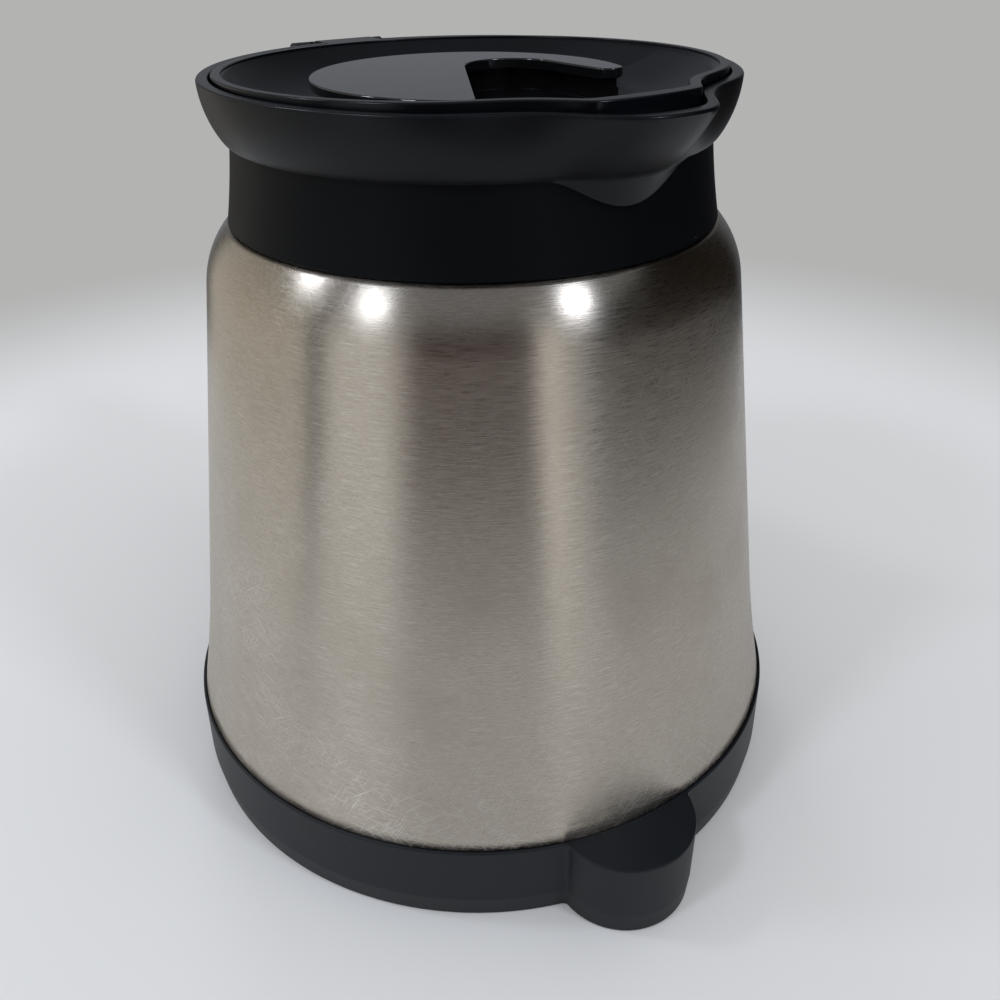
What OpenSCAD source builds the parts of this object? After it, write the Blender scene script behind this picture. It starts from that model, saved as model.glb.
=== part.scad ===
// Vacuum carafe for a coffee table: a brushed steel flask with a plastic collar, a spouted pour
// bowl, a hinged flip lid with a turning pour dial, a base ring with a locating lug, and a handle.
// Millimetres. +X is the spout, -X the handle, +Z up. The origin is the centre of the underside.

/* [Flask] */
// Radius of the steel body where it leaves the base ring
foot_r = 70; // [68:0.5:74]
// Height at which the straight cone of the body ends and the shoulder starts
shoulder_z = 118.5; // [110:0.5:122]
// How much wider the body is at the start of the shoulder than the foot of the collar
shoulder_out = 5.75; // [4.5:0.25:8]
// Radius of the rounded shoulder
shoulder_bend = 18; // [17:0.5:22]
// Angle through which the shoulder bends inwards, beyond the slope of the cone
shoulder_turn = 40; // [34:1:42]
// How far the foot of the body flares beyond the straight cone
foot_flare = 1.1; // [0:0.1:2]
// Height over which the foot flares
flare_height = 28; // [15:1:40]
// Thickness of the outer steel sheet
outer_sheet = 0.6; // [0.4:0.1:0.8]
// Thickness of the inner steel sheet
inner_sheet = 0.5; // [0.4:0.1:0.6]
// Vacuum space between the two sheets
vacuum_gap = 4; // [3:0.5:5]
// Bore of the flask's mouth, as a radius; the collar, the bowl and the lid follow it
mouth_r = 42; // [40:0.5:44]

/* [Base] */
// Height of the base ring
base_h = 19.3; // [17:0.1:22]
// How far the base ring stands proud of the steel at its top
base_proud = 0.8; // [0.5:0.1:1.2]
// How much wider the base ring is at the bottom than at the top
base_draft = 0.3; // [0:0.1:0.6]
// Wall of the base ring
base_wall = 2.5; // [2:0.1:3]
// Radius of the half-round locating lug
lug_r = 14.9; // [12:0.1:17]
// Depth of the lug's centre inside the foot of the body
lug_set = 2.4; // [0:0.1:4]
// Direction of the lug, in degrees from the spout
lug_turn = -7; // [-20:1:20]
// Inward taper of the band around the bottom of the base ring and the lug
band_taper = 0.7; // [0.3:0.1:1.2]
// Height of that band
band_h = 5; // [3:0.5:7]
// Height that the rubber pad stands below the ring
pad_proud = 0.4; // [0.3:0.1:0.6]
// Width of the rubber pad
pad_w = 4; // [3:0.5:5]

/* [Collar and pour bowl] */
// Thickness of the collar at its waist, outside the steel neck
collar_wall = 2.1; // [2:0.05:2.5]
// How much wider the collar is at its foot than at its waist
collar_flare = 2.45; // [1.5:0.05:3]
// Height of the collar between the steel shoulder and the bowl
collar_h = 15.2; // [14.5:0.1:18]
// Height of the bowl above the collar
bowl_h = 10.8; // [10.5:0.1:12]
// How much wider the bowl's rim is than the collar's waist
bowl_flare = 4.4; // [4:0.1:6]
// Width of the flat top of the bowl's rim
rim_flat = 2.2; // [2:0.1:2.7]
// Reach of the spout beyond the rim
spout_reach = 9; // [6:0.5:12]
// Half angle of the spout, where its flank is steepest
spout_half_angle = 13.3; // [12:0.1:15]
// Depth of the pinch on each side of the spout
spout_pinch = 2.1; // [0:0.1:2.4]
// How far the belly under the spout hangs below the seam
belly_drop = 5.2; // [3:0.1:7]
// Half angle of that belly at the seam
belly_half_angle = 19; // [16:0.5:24]
// Thickness of the skirt by which the bowl overlaps the collar
skirt_wall = 0.75; // [0.6:0.05:1]

/* [Lid] */
// Gap between the lid and the bowl's rim
lid_gap = 0.5; // [0.4:0.05:0.8]
// How far the lid's rim stands proud at the spout; it is flush at the hinge
lid_rise = 1.5; // [0:0.1:2]
// Reach of the lid's own nose beyond the bowl's round rim; the rest of the spout is the pour gap
lid_nose = 1.7; // [0:0.1:2.3]
// Width of the lid's rim
lid_rim_w = 1.8; // [1.6:0.1:2.6]
// Depth of the lid's concave floor beside the dial, below the bowl's rim
dish_drop = 7.5; // [6.9:0.1:7.8]
// Angle through which the lid opens
lid_open = 110; // [90:1:115]
// Room between the plug's lower end and the wall of the flask's mouth
plug_room = 4; // [3.8:0.1:5.5]
// Depth of the flask's steel mouth below the bowl's rim
mouth_drop = 16.7; // [16.2:0.1:17.5]
// Depth of the plug below the flask's mouth
plug_depth = 14.5; // [12:0.5:15.5]

/* [Dial] */
// How much smaller the gloss dial plate is than the flask's mouth, as a radius
dial_set = 11.4; // [10.8:0.1:12]
// Depth of the top of the dial plate below the bowl's rim
dial_drop = 1.2; // [0.9:0.05:2.4]
// Thickness of the dial plate
dial_t = 2; // [1.7:0.1:2.5]
// Overhang of the dial plate beyond its hub
dial_overhang = 1.7; // [1.4:0.1:2.8]
// Radius of the round end of the finger recess
recess_r = 9.5; // [8:0.5:10]
// Place of the centre of that round end along X
recess_x = -4.1; // [-6:0.1:-2]
// Place of the centre of that round end along Y
recess_y = 12.45; // [11:0.05:13]
// Angle of the recess wall on the +Y side, from the X axis
recess_flare_left = 5; // [0:1:8]
// Angle of the recess wall on the -Y side, from the X axis
recess_flare_right = 29.6; // [20:0.1:35]
// Angle through which the dial turns from open to closed
dial_turn = 90; // [60:1:110]

/* [Handle and hinge] */
// Distance of the handle's middle line from the foot of the body
handle_reach = 34; // [30:1:42]
// Width of the handle
handle_w = 23; // [20:0.5:26]
// Depth of the handle at the grip
handle_t = 17; // [15:0.5:19]
// Bend radius of the handle's upper corner
upper_bend = 24; // [20:1:28]
// Bend radius of the handle's lower corner
lower_bend = 26; // [22:1:30]
// Distance of the hinge axis behind the bowl's rim
hinge_back = 6.8; // [6.6:0.1:7.8]
// Depth of the hinge axis below the rim
hinge_drop = 3.2; // [3:0.1:3.4]
// Radius of the lid's hinge barrel
barrel_r = 2.7; // [2.5:0.1:2.8]
// Width of the lid's hinge barrel
barrel_w = 13.5; // [11:0.5:15]
// Radius of the hinge pin
pin_r = 1.25; // [1:0.05:1.4]
// Radial running clearance of the pin in the barrel, and of the dial's spindle in its bore
running_fit = 0.06; // [0.04:0.01:0.1]
// Thickness of each hinge ear
ear_t = 4; // [3:0.5:5]

/* [Hidden] */
$fn = 96;

// Clearance between pieces that seat on each other, and between pieces that pass each other
seat = 0.1;
clear = 0.3;
// A cut runs this far past the face that it opens
over = 1;

// Seams of the round mouldings: close steps around the spout, wider steps elsewhere
fan = 48;
fan_step = 3;
back_steps = 52;
ring_angles = concat([for (a = [-fan:fan_step:fan]) a],
    [for (i = [1:back_steps - 1]) fan + i * (360 - 2 * fan) / back_steps]);
arc_steps = 8;
plan_steps = 30;
wall_steps = 9;
bowl_steps = 5;
skirt_steps = 3;
dish_steps = 7;

// Radii that follow the flask's mouth
neck_gap = 1.1;
neck_inner_r = mouth_r + inner_sheet + neck_gap;
neck_outer_r = neck_inner_r + outer_sheet;
collar_waist_r = neck_outer_r + collar_wall;
collar_foot_r = collar_waist_r + collar_flare;
shoulder_r = collar_foot_r + shoulder_out;
rim_r = collar_waist_r + bowl_flare;
lid_nose_r = rim_r + lid_nose;
plug_r = mouth_r - plug_room;
hinge_out = rim_r + hinge_back;
dial_r = mouth_r - dial_set;
handle_out = foot_r + handle_reach;
lug_out = foot_r - lug_set;

// Steel body
cone_slope = (foot_r - foot_flare - shoulder_r) / (shoulder_z - base_h);
cone_angle = atan(cone_slope);
ring_inner_r = foot_r - base_wall + base_proud;
joggle_r = ring_inner_r - 2 * seat;
joggle_drop = 2.6;
joggle_z = base_h - joggle_drop;
plate_z = 7;
foot_bend = 1.2;
weld_r = joggle_r - foot_bend - 0.4;
crown_rise = 0.25;
crown_z = shoulder_arc_point(1)[1] + crown_rise;
lip_t = 0.6;
lip_round = 0.3;

// Heights that follow the steel shoulder
collar_foot_z = crown_z + seat;
seam_z = collar_foot_z + collar_h;
rim_z = seam_z + bowl_h;
mouth_z = rim_z - mouth_drop;
dish_z = rim_z - dish_drop;
dial_z = rim_z - dial_drop;

// Bottom disc: a raised cone holds the brazed seal of the vacuum port
cone_h = 3;
cone_foot_r = 13;
cone_top_r = 9;
port_r = 1.5;
port_z = plate_z + cone_h - outer_sheet;
seal_bead_r = 3.5;
getter_r = 6;
getter_h = 2;
getter_out = 28;

// Floor of the inner flask: it clears the cone, and its corner is bent in two steps
flask_floor_z = plate_z + cone_h + vacuum_gap;
corner_w = 8;
corner_set = 2.3;
corner_h = 1.6;

// Base
shelf_t = 1.6;
shelf_z = plate_z - shelf_t;
base_edge = 0.4;
shelf_w = 10;
plate_hole_r = ring_inner_r - shelf_w;
base_plate_z = 2.2;
base_plate_t = 1.6;
base_dimple_r = 14;
base_dimple_h = 0.8;
pad_set = 2.4;
pad_mid_r = ring_inner_r - pad_set;
pad_top_z = 2.6;
base_screw_angles = [60, 180, 300];
base_screw_set = 7.4;
base_screw_out = ring_inner_r - base_screw_set;
base_screw_seat = 2.2;
base_screw_r = 1.2;
base_head_r = 2.2;
base_head_h = 1.4;
base_boss_r = 3.2;

// Collar and bowl
collar_inner_r = neck_outer_r + 2 * seat;
collar_lap = 2.2;
collar_top_z = seam_z + collar_lap;
throat_set = 3;
throat_r = mouth_r + throat_set;
ledge_drop = 6.7;
ledge_z = rim_z - ledge_drop;
ledge_set = 2.7;
ledge_r = rim_r - ledge_set;
rim_edge = 0.5;
skirt_lap = 0.9;
seal_r = 0.7;
seal_mid_r = neck_outer_r + seal_r + seat / 2;

// Hinge
hinge_z = rim_z - hinge_drop;
tongue_z = hinge_z + clear;
notch_half = barrel_w / 2 + 4 * seat;
notch_drop = 1.3;
notch_z = tongue_z - notch_drop;
ear_gap = 0.25;
ear_in = barrel_w / 2 + ear_gap;
ear_out = ear_in + ear_t;
ear_mid = (ear_in + ear_out) / 2;
bracket_side = 2.5;
bracket_half = ear_out + bracket_side;
bracket_back = 10.5;
bracket_rear = hinge_out + bracket_back;
bracket_top_z = hinge_z - barrel_r - 2 * clear;
bracket_z = crown_z + 2 * clear;
bracket_corner = 5;
bracket_face = rim_r + over;
saddle_gap = 0.35;
saddle_r = collar_foot_r + saddle_gap;
arm_z = (bracket_top_z + bracket_z) / 2;
bracket_screw_y = 9;
bracket_screw_rise = 3.5;
bracket_screw_z = collar_foot_z + bracket_screw_rise;
bracket_screw_seat = collar_inner_r + saddle_gap;
bracket_screw_r = 1.15;
bracket_screw_l = 12;
bracket_head_r = 2.3;
bracket_head_h = 0.9;
seal_z = bracket_screw_z + bracket_head_r + seal_r + 2 * clear;

// Heel of the lid's barrel: it meets the bracket's flat top when the lid is fully open
heel_r = 0.8;
heel_lean = 20;
heel_reach = (hinge_z - bracket_top_z - seat / 2 - heel_r) / cos(heel_lean);
heel_turn = 270 - heel_lean - lid_open;

// Lid
skirt_set = 0.6;
bead_h = 1.3;
lid_edge = 0.4;
nose_blend = 0.9;
nose_rim_w = 1.2;
dish_lip = 0.5;
dish_curve = 2.2;
skirt_foot_z = ledge_z + clear;
skirt_foot_r = ledge_r - lid_gap - 4 * seat;
dish_t = 1.4;
dish_under_z = dish_z - dish_t;
dish_foot_r = throat_r - 4 * seat;
hub_r = dial_r - dial_overhang;
well_r = hub_r + 4 * seat;

// Plug: outer cone, flange on the mouth's gasket, and the well in which the dial's drum turns
flange_set = 1;
flange_r = throat_r - flange_set;
gasket_h = 1.8;
gasket_squeeze = 0.2;
flange_z = mouth_z + lip_t + gasket_h;
plug_top_z = dish_under_z - seat;
plug_foot_z = mouth_z - plug_depth;
plug_taper = 1.6;
plug_neck_r = plug_r + plug_taper;
plug_wall = 1.8;
flange_t = 3;
drum_set = 3.2;
drum_r = hub_r - drum_set;
drum_h = 7.5;
drum_gap = 0.25;
drum_bore_r = drum_r + drum_gap;
drum_foot_z = plug_top_z - drum_h;
well_wall = 2;
well_outer_r = drum_bore_r + well_wall;
floor_z = drum_foot_z - clear;
floor_t = 2;
floor_under_z = floor_z - floor_t;
cover_t = 1.6;
foam_clear = 0.3;
foam_z = plug_foot_z + cover_t + 2 * seat;
window_half = 8;
window_edge = 0.8;
window_low_z = flange_z + window_edge;
window_high_z = plug_top_z - window_edge;
spindle_r = 3.5;
boss_r = 6.5;
boss_h = 3;
boss_foot_z = floor_under_z - boss_h;
coffee_hole_r = 5.5;
coffee_hole_set = 11.2;
coffee_hole_out = drum_r - coffee_hole_set;
coffee_hole_angles = [90, 210, 330];
outlet_set = 2;
outlet_out = dish_foot_r - outlet_set;
outlet_rise = 1.8;
outlet_top_z = ledge_z + outlet_rise;
lid_screw_angles = [60, 180, 300];
lid_screw_set = 2.8;
lid_screw_out = flange_r - lid_screw_set;
lid_screw_r = 0.95;
lid_screw_sink = 1.2;
lid_screw_seat = flange_z + lid_screw_sink;
lid_screw_bite = 3;
lid_head_r = 1.9;
lid_head_h = 1;
o_ring_r = 0.7;
o_ring_out = (drum_bore_r + well_r) / 2 + seat;

// Dial
plate_foot_z = dial_z - dial_t;
hub_z = dish_under_z + seat;
recess_floor_z = dish_z;
recess_set = 2.4;
recess_ledge_h = 1.4;
recess_ledge_set = 0.8;
dial_edge = 0.3;
dial_under = 0.8;
drum_wall = 2.2;
drum_top_t = 0.5;
washer_t = 0.8;
washer_z = boss_foot_z - clear - washer_t;
dial_screw_r = 1.25;
dial_screw_l = 8;
dial_head_r = 2.6;
dial_head_h = 1.6;

// Tooth under the drum's wall, which runs in an arc-shaped groove in the floor of the well
tooth_r = 1;
tooth_h = 1.2;
tooth_out = drum_r - drum_wall / 2;
tooth_angle = 180;
groove_half = tooth_r + drum_gap;
groove_z = drum_foot_z - tooth_h - 2 * seat;

// Handle
tab_t = 3.2;
lower_thin = 0.6;
foot_arm_z = tab_t + seat + handle_t / 2 - lower_thin;
lower_lean = 2;
lower_out = handle_out + lower_lean;
grip_belly = 1.3;
grip_belly_at = 0.535;
grip_belly_z = foot_arm_z + grip_belly_at * (arm_z - foot_arm_z);
grip_section = 28;
grip_square = 0.7;
tab_low = pad_proud + 2 * clear;
lug_taper = 0.6 * band_taper;
lug_band_h = band_h - 2 * seat;
tab_reach = 18;
tab_out = foot_r + tab_reach;
tab_root_set = 4;
tab_root = foot_r - tab_root_set;
tab_side = 1.5;
tab_half = handle_w / 2 - tab_side;
upper_screw_depth = 15;
upper_screw_seat = bracket_rear - upper_screw_depth;
upper_screw_r = 1.4;
upper_screw_bite = 13;
upper_head_r = 3.2;
upper_head_h = 2;
lower_screw_reach = 9;
lower_screw_out = foot_r + lower_screw_reach;
lower_screw_r = 1.35;
lower_screw_l = 12;
lower_head_r = 3;
lower_head_h = 1.5;
lower_screw_seat = pad_proud + lower_head_h + 2 * seat;

// ---- Profiles ----

// Points of an arc in plan, from one angle to another
function plan_arc(centre, r, from, to) =
    [for (k = [0:plan_steps])
        let (a = from + (to - from) * k / plan_steps)
        centre + r * [cos(a), sin(a)]];

// Rounded shoulder, t from 0 at the top of the cone to 1 at its inner end
function shoulder_arc_point(t) =
    let (a = cone_angle + t * shoulder_turn)
    [shoulder_r - shoulder_bend * (cos(cone_angle) - cos(a)),
     shoulder_z + shoulder_bend * (sin(a) - sin(cone_angle))];

// Outer radius of the steel at a height between the foot and the shoulder
function body_r(z) =
    let (f = max(0, 1 - (z - base_h) / flare_height))
    shoulder_r + cone_slope * (shoulder_z - z) + foot_flare * f * f;

body_heights = concat([for (i = [0:6]) base_h + i * flare_height / 6], [shoulder_z]);

// Outline of the steel from the foot of the cone to the crown, moved inwards by d
function body_line(d) = concat(
    [for (z = body_heights) [body_r(z) - d / cos(cone_angle), z]],
    [for (i = [1:arc_steps])
        let (a = cone_angle + i / arc_steps * shoulder_turn, p = shoulder_arc_point(i / arc_steps))
        [p[0] - d * cos(a), p[1] - d * sin(a)]]);

// Radius of the collar's waisted outside
function collar_r(z) =
    let (d = max(0, seam_z - z), full = seam_z - collar_foot_z)
    collar_waist_r + (collar_foot_r - collar_waist_r) * (0.65 * d / full + 0.35 * pow(d / full, 2));

// Angle from the spout, 0 to 180
function off_spout(a) = abs(a > 180 ? a - 360 : a);

// Outline of the bowl's rim: a circle with the spout's nose and a pinch on each side of it
function rim_outline(a) =
    let (s = off_spout(a))
    rim_r + spout_reach / (1 + pow(s / spout_half_angle, 3.6))
          - spout_pinch * exp(-pow((s - 24) / 12.5, 2));

// Inner edge of the bowl's rim; the wall is thicker around the nose
function rim_inner(a) =
    let (s = off_spout(a))
    rim_outline(a) - rim_flat - 0.5 * exp(-pow(s / 10, 2));

// Smaller of two values with a rounded change from one to the other
function soft_min(a, b, blend) = (a + b - sqrt((a - b) * (a - b) + blend * blend)) / 2;

// Outline of the lid: it follows the bowl's rim, and its nose ends short of the spout
function lid_outline(a) = soft_min(rim_inner(a) - lid_gap + nose_blend / 9, lid_nose_r, nose_blend);

// Height of the lid's rim, which rises towards the spout
function lid_top(r, a) = rim_z + lid_rise * (r * cos(a) + rim_r) / (2 * rim_r);

// Lower edge of the bowl's skirt, which drops in a round belly under the spout
function skirt_z(a) =
    let (s = off_spout(a) / belly_half_angle)
    s < 1 ? seam_z - belly_drop * (1 - s * s) * (1 - s * s) : seam_z;

// Outside of the bowl between its skirt (t = 0) and its rim (t = 1)
function bowl_outer(a, t) =
    let (low = skirt_z(a), z = low + t * (rim_z - rim_edge - low),
         u = max(0, (z - seam_z) / (rim_z - seam_z)),
         round_r = z < seam_z ? collar_r(z) + seat + skirt_wall
                 : collar_waist_r + seat + skirt_wall
                   + (rim_r - collar_waist_r - seat - skirt_wall) * sin(90 * pow(u, 0.8)),
         nose = rim_outline(a) - rim_r)
    [round_r + nose * (nose > 0 ? t : u), z];

// Inside of the bowl between its ledge (t = 0) and its rim (t = 1)
function bowl_inner(a, t) =
    [ledge_r + (rim_inner(a) - ledge_r) * pow(t, 0.75), ledge_z + t * (rim_z - ledge_z)];

function bowl_loop(a) = concat(
    [for (i = [0:wall_steps]) bowl_outer(a, i / wall_steps)],
    [[rim_outline(a) - rim_edge, rim_z], [rim_inner(a), rim_z]],
    [for (i = [bowl_steps - 1:-1:0]) bowl_inner(a, i / bowl_steps)],
    [[throat_r, ledge_z], [throat_r, collar_top_z + seat],
     [collar_waist_r + seat, collar_top_z + seat]],
    [for (i = [1:skirt_steps])
        let (top = seam_z + skirt_lap, z = top + (skirt_z(a) - top) * i / skirt_steps)
        [collar_r(z) + seat, z]]);

function lid_loop(a) =
    let (r = lid_outline(a), top = lid_top(r, a),
         inner = r - lid_rim_w - nose_rim_w * exp(-pow(off_spout(a) / 16, 2)))
    concat(
        [[dish_foot_r, dish_under_z + seat], [dish_foot_r, skirt_foot_z],
         [skirt_foot_r, skirt_foot_z], [r - skirt_set, rim_z - bead_h - skirt_set],
         [r, rim_z - bead_h], [r, top - lid_edge], [r - lid_edge, top], [inner + lid_edge, top]],
        [for (i = [0:dish_steps])
            let (u = 1 - i / dish_steps)
            [well_r + (inner - well_r) * u,
             dish_z + (top - dish_lip - dish_z) * pow(u, dish_curve)]],
        [[well_r, dish_under_z]]);

// ---- Shared shapes ----

// Round moulding whose cross-section changes from seam to seam: one closed loop per angle
module round_moulding(loops) {
    n = len(loops);
    m = len(loops[0]);
    polyhedron(
        points = [for (i = [0:n - 1]) for (p = loops[i])
            [p[0] * cos(ring_angles[i]), p[0] * sin(ring_angles[i]), p[1]]],
        faces = [for (i = [0:n - 1]) for (j = [0:m - 1])
            let (a = i * m + j, b = i * m + (j + 1) % m, k = ((i + 1) % n) * m)
            for (f = [[a, b, k + (j + 1) % m], [a, k + (j + 1) % m, k + j]]) f]);
}

module ring(outer, inner, low, high) {
    difference() {
        translate([0, 0, low])
            cylinder(r = outer, h = high - low);
        translate([0, 0, low - over])
            cylinder(r = inner, h = high - low + 2 * over);
    }
}

// Screw along +Z with its head below zero: shank up from the origin
module screw(shank_r, length, head_r, head_h) {
    cylinder(r = shank_r, h = length, $fn = 32);
    translate([0, 0, -head_h])
        difference() {
            cylinder(r = head_r, h = head_h, $fn = 32);
            translate([0, 0, -over])
                cylinder(r = head_r * 0.5, h = over + head_h * 0.5, $fn = 6);
        }
}

// Plan of the finger recess: a round end with two walls that open towards the spout, grown by d
module recess_plan(d) {
    reach = 2 * dial_r;
    arc = plan_arc([recess_x, recess_y], recess_r + d,
        90 + recess_flare_left, 270 - recess_flare_right);
    polygon(concat(
        [arc[0] + reach * [cos(recess_flare_left), sin(recess_flare_left)]],
        arc,
        [arc[plan_steps] + reach * [cos(recess_flare_right), -sin(recess_flare_right)]]));
}

// ---- Flask ----

module outer_shell() {
    inside = body_line(outer_sheet);
    color("silver")
    rotate_extrude()
        polygon(concat(
            [[joggle_r - foot_bend, plate_z], [joggle_r, plate_z + foot_bend],
             [joggle_r, joggle_z]],
            body_line(0),
            [[neck_outer_r, crown_z], [neck_outer_r, mouth_z], [neck_inner_r, mouth_z],
             [neck_inner_r, crown_z - outer_sheet]],
            [for (i = [len(inside) - 1:-1:0]) inside[i]],
            [[joggle_r - outer_sheet, joggle_z],
             [joggle_r - outer_sheet, plate_z + foot_bend + outer_sheet / 3],
             [weld_r, plate_z + outer_sheet], [weld_r, plate_z]]));
}

module inner_flask() {
    gap = outer_sheet + vacuum_gap;
    line = body_line(gap);
    inner = body_line(gap + inner_sheet);
    last = len(line) - 3;
    foot = line[0][0];
    neck_r = mouth_r + inner_sheet;
    shoulder_top = line[len(line) - 1][1];
    color("gainsboro")
    rotate_extrude()
        polygon(concat(
            [[0, flask_floor_z], [foot - corner_w, flask_floor_z],
             [foot - corner_set, flask_floor_z + corner_h]],
            [for (i = [1:last]) line[i]],
            [[neck_r, shoulder_top], [neck_r, mouth_z], [neck_outer_r, mouth_z],
             [neck_outer_r, mouth_z + lip_t], [mouth_r + lip_round, mouth_z + lip_t],
             [mouth_r, mouth_z + lip_t - lip_round], [mouth_r, shoulder_top - inner_sheet]],
            [for (i = [last:-1:1]) inner[i]],
            [[foot - corner_set - inner_sheet, flask_floor_z + corner_h + inner_sheet],
             [foot - corner_w - inner_sheet, flask_floor_z + inner_sheet],
             [0, flask_floor_z + inner_sheet]]));
}

module shell_bottom() {
    color("silver")
    difference() {
        union() {
            translate([0, 0, plate_z])
                cylinder(r = weld_r - seat, h = outer_sheet);
            translate([0, 0, plate_z])
                cylinder(r1 = cone_foot_r, r2 = cone_top_r, h = cone_h);
            for (a = base_screw_angles)
                rotate([0, 0, a])
                    translate([base_screw_out, 0, shelf_z + seat])
                        cylinder(r = base_boss_r, h = plate_z - shelf_z - seat + outer_sheet / 2);
        }
        translate([0, 0, plate_z - over])
            cylinder(r = cone_top_r - outer_sheet, h = over + port_z - plate_z);
        translate([0, 0, plate_z])
            cylinder(r = port_r, h = cone_h + over);
        for (a = base_screw_angles)
            rotate([0, 0, a])
                translate([base_screw_out, 0, shelf_z - over])
                    cylinder(r = base_screw_r + seat / 2, h = plate_z - shelf_z + over + 0.4, $fn = 32);
    }
}

module vacuum_seal() {
    color("dimgray")
    rotate_extrude()
        polygon(concat([[0, port_z]],
            [for (i = [0:6]) [seal_bead_r * cos(i * 15), port_z - seal_bead_r / 2 * sin(i * 15)]]));
}

module getter() {
    color("darkgray")
    translate([getter_out, 0, plate_z + outer_sheet])
        cylinder(r = getter_r, h = getter_h);
}

// ---- Base ----

// Room inside the base ring: the steel foot, and the recess below it
module base_room() {
    rotate_extrude()
        polygon([
            [0, shelf_z], [ring_inner_r, shelf_z], [ring_inner_r, joggle_z - 2 * seat],
            [foot_r + 2 * seat, base_h - seat], [foot_r + 2 * seat, base_h + over],
            [0, base_h + over]]);
    translate([0, 0, -over])
        cylinder(r = plate_hole_r, h = plate_z + over);
}

module base_ring() {
    top_r = foot_r + base_proud;
    bottom_r = top_r + base_draft;
    low = pad_proud;
    color("#222326")
    difference() {
        union() {
            rotate_extrude()
                polygon([
                    [0, low], [bottom_r - band_taper, low], [bottom_r, low + band_h],
                    [top_r, base_h - base_edge], [top_r - base_edge, base_h], [0, base_h]]);
            rotate([0, 0, lug_turn])
                translate([lug_out, 0, low]) {
                    cylinder(r1 = lug_r - lug_taper, r2 = lug_r, h = lug_band_h);
                    translate([0, 0, lug_band_h])
                        cylinder(r = lug_r, h = base_h - low - lug_band_h);
                }
            translate([0, 0, tab_low])
                linear_extrude(tab_t - tab_low)
                    polygon(concat(
                        [[-tab_root, tab_half]],
                        plan_arc([-tab_out + tab_half, 0], tab_half, 90, 270),
                        [[-tab_root, -tab_half]]));
        }
        base_room();
        ring(pad_mid_r + pad_w / 2 + seat, pad_mid_r - pad_w / 2 - seat, -over, pad_top_z + seat);
        translate([-lower_screw_out, 0, -over]) {
            cylinder(r = lower_screw_r + clear, h = tab_t + 2 * over);
            cylinder(r = lower_head_r + clear, h = over + lower_screw_seat);
        }
        for (a = base_screw_angles)
            rotate([0, 0, a])
                translate([base_screw_out, 0, -over]) {
                    cylinder(r = base_screw_r + 2 * seat, h = plate_z + over);
                    cylinder(r = base_head_r + clear, h = over + base_screw_seat);
                }
    }
}

module base_plate() {
    color("#2a2b2e")
    difference() {
        translate([0, 0, base_plate_z])
            cylinder(r = plate_hole_r - seat, h = base_plate_t);
        translate([0, 0, base_plate_z - over])
            cylinder(r = base_dimple_r, h = over + base_dimple_h);
    }
}

module base_pad() {
    color("#303134")
    ring(pad_mid_r + pad_w / 2, pad_mid_r - pad_w / 2, 0, pad_top_z);
}

module base_screws() {
    color("darkgray")
    for (a = base_screw_angles)
        rotate([0, 0, a])
            translate([base_screw_out, 0, base_screw_seat])
                screw(base_screw_r, plate_z - base_screw_seat + 2 * seat, base_head_r, base_head_h);
}

// ---- Collar and bowl ----

module neck_collar() {
    steps = 8;
    color("#17181a")
    difference() {
        rotate_extrude()
            polygon(concat(
                [[collar_inner_r, collar_foot_z]],
                [for (i = [0:steps])
                    let (z = collar_foot_z + i / steps * (seam_z - collar_foot_z))
                    [collar_r(z), z]],
                [[collar_waist_r, collar_top_z], [throat_r + seat, collar_top_z],
                 [throat_r + seat, mouth_z + lip_t], [collar_inner_r, mouth_z + lip_t]]));
        ring(seal_mid_r + seal_r + seat, collar_inner_r - over, seal_z - seal_r - clear,
            seal_z + seal_r + clear);
        for (s = [-1, 1])
            translate([0, s * bracket_screw_y, bracket_screw_z])
                rotate([0, -90, 0]) {
                    cylinder(r = bracket_screw_r + clear, h = bracket_rear, $fn = 32);
                    cylinder(r = bracket_head_r + clear, h = bracket_screw_seat, $fn = 32);
                }
    }
}

module collar_seal() {
    color("#3a3a3c")
    rotate_extrude()
        translate([seal_mid_r, seal_z])
            circle(r = seal_r, $fn = 24);
}

module pour_bowl() {
    color("#1d1e20")
    difference() {
        round_moulding([for (a = ring_angles) bowl_loop(a)]);
        translate([-hinge_out, -notch_half, notch_z])
            cube([hinge_out - ledge_r + ledge_set, 2 * notch_half, rim_z - notch_z + over]);
    }
}

// ---- Handle and hinge ----

// Rectangle with round corners, centred on the origin
module rounded_plan(w, h, r) {
    square([w - 2 * r, h], center = true);
    square([w, h - 2 * r], center = true);
    for (x = [-1, 1], y = [-1, 1])
        translate([x * (w / 2 - r), y * (h / 2 - r)])
            circle(r = r, $fn = 32);
}

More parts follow.
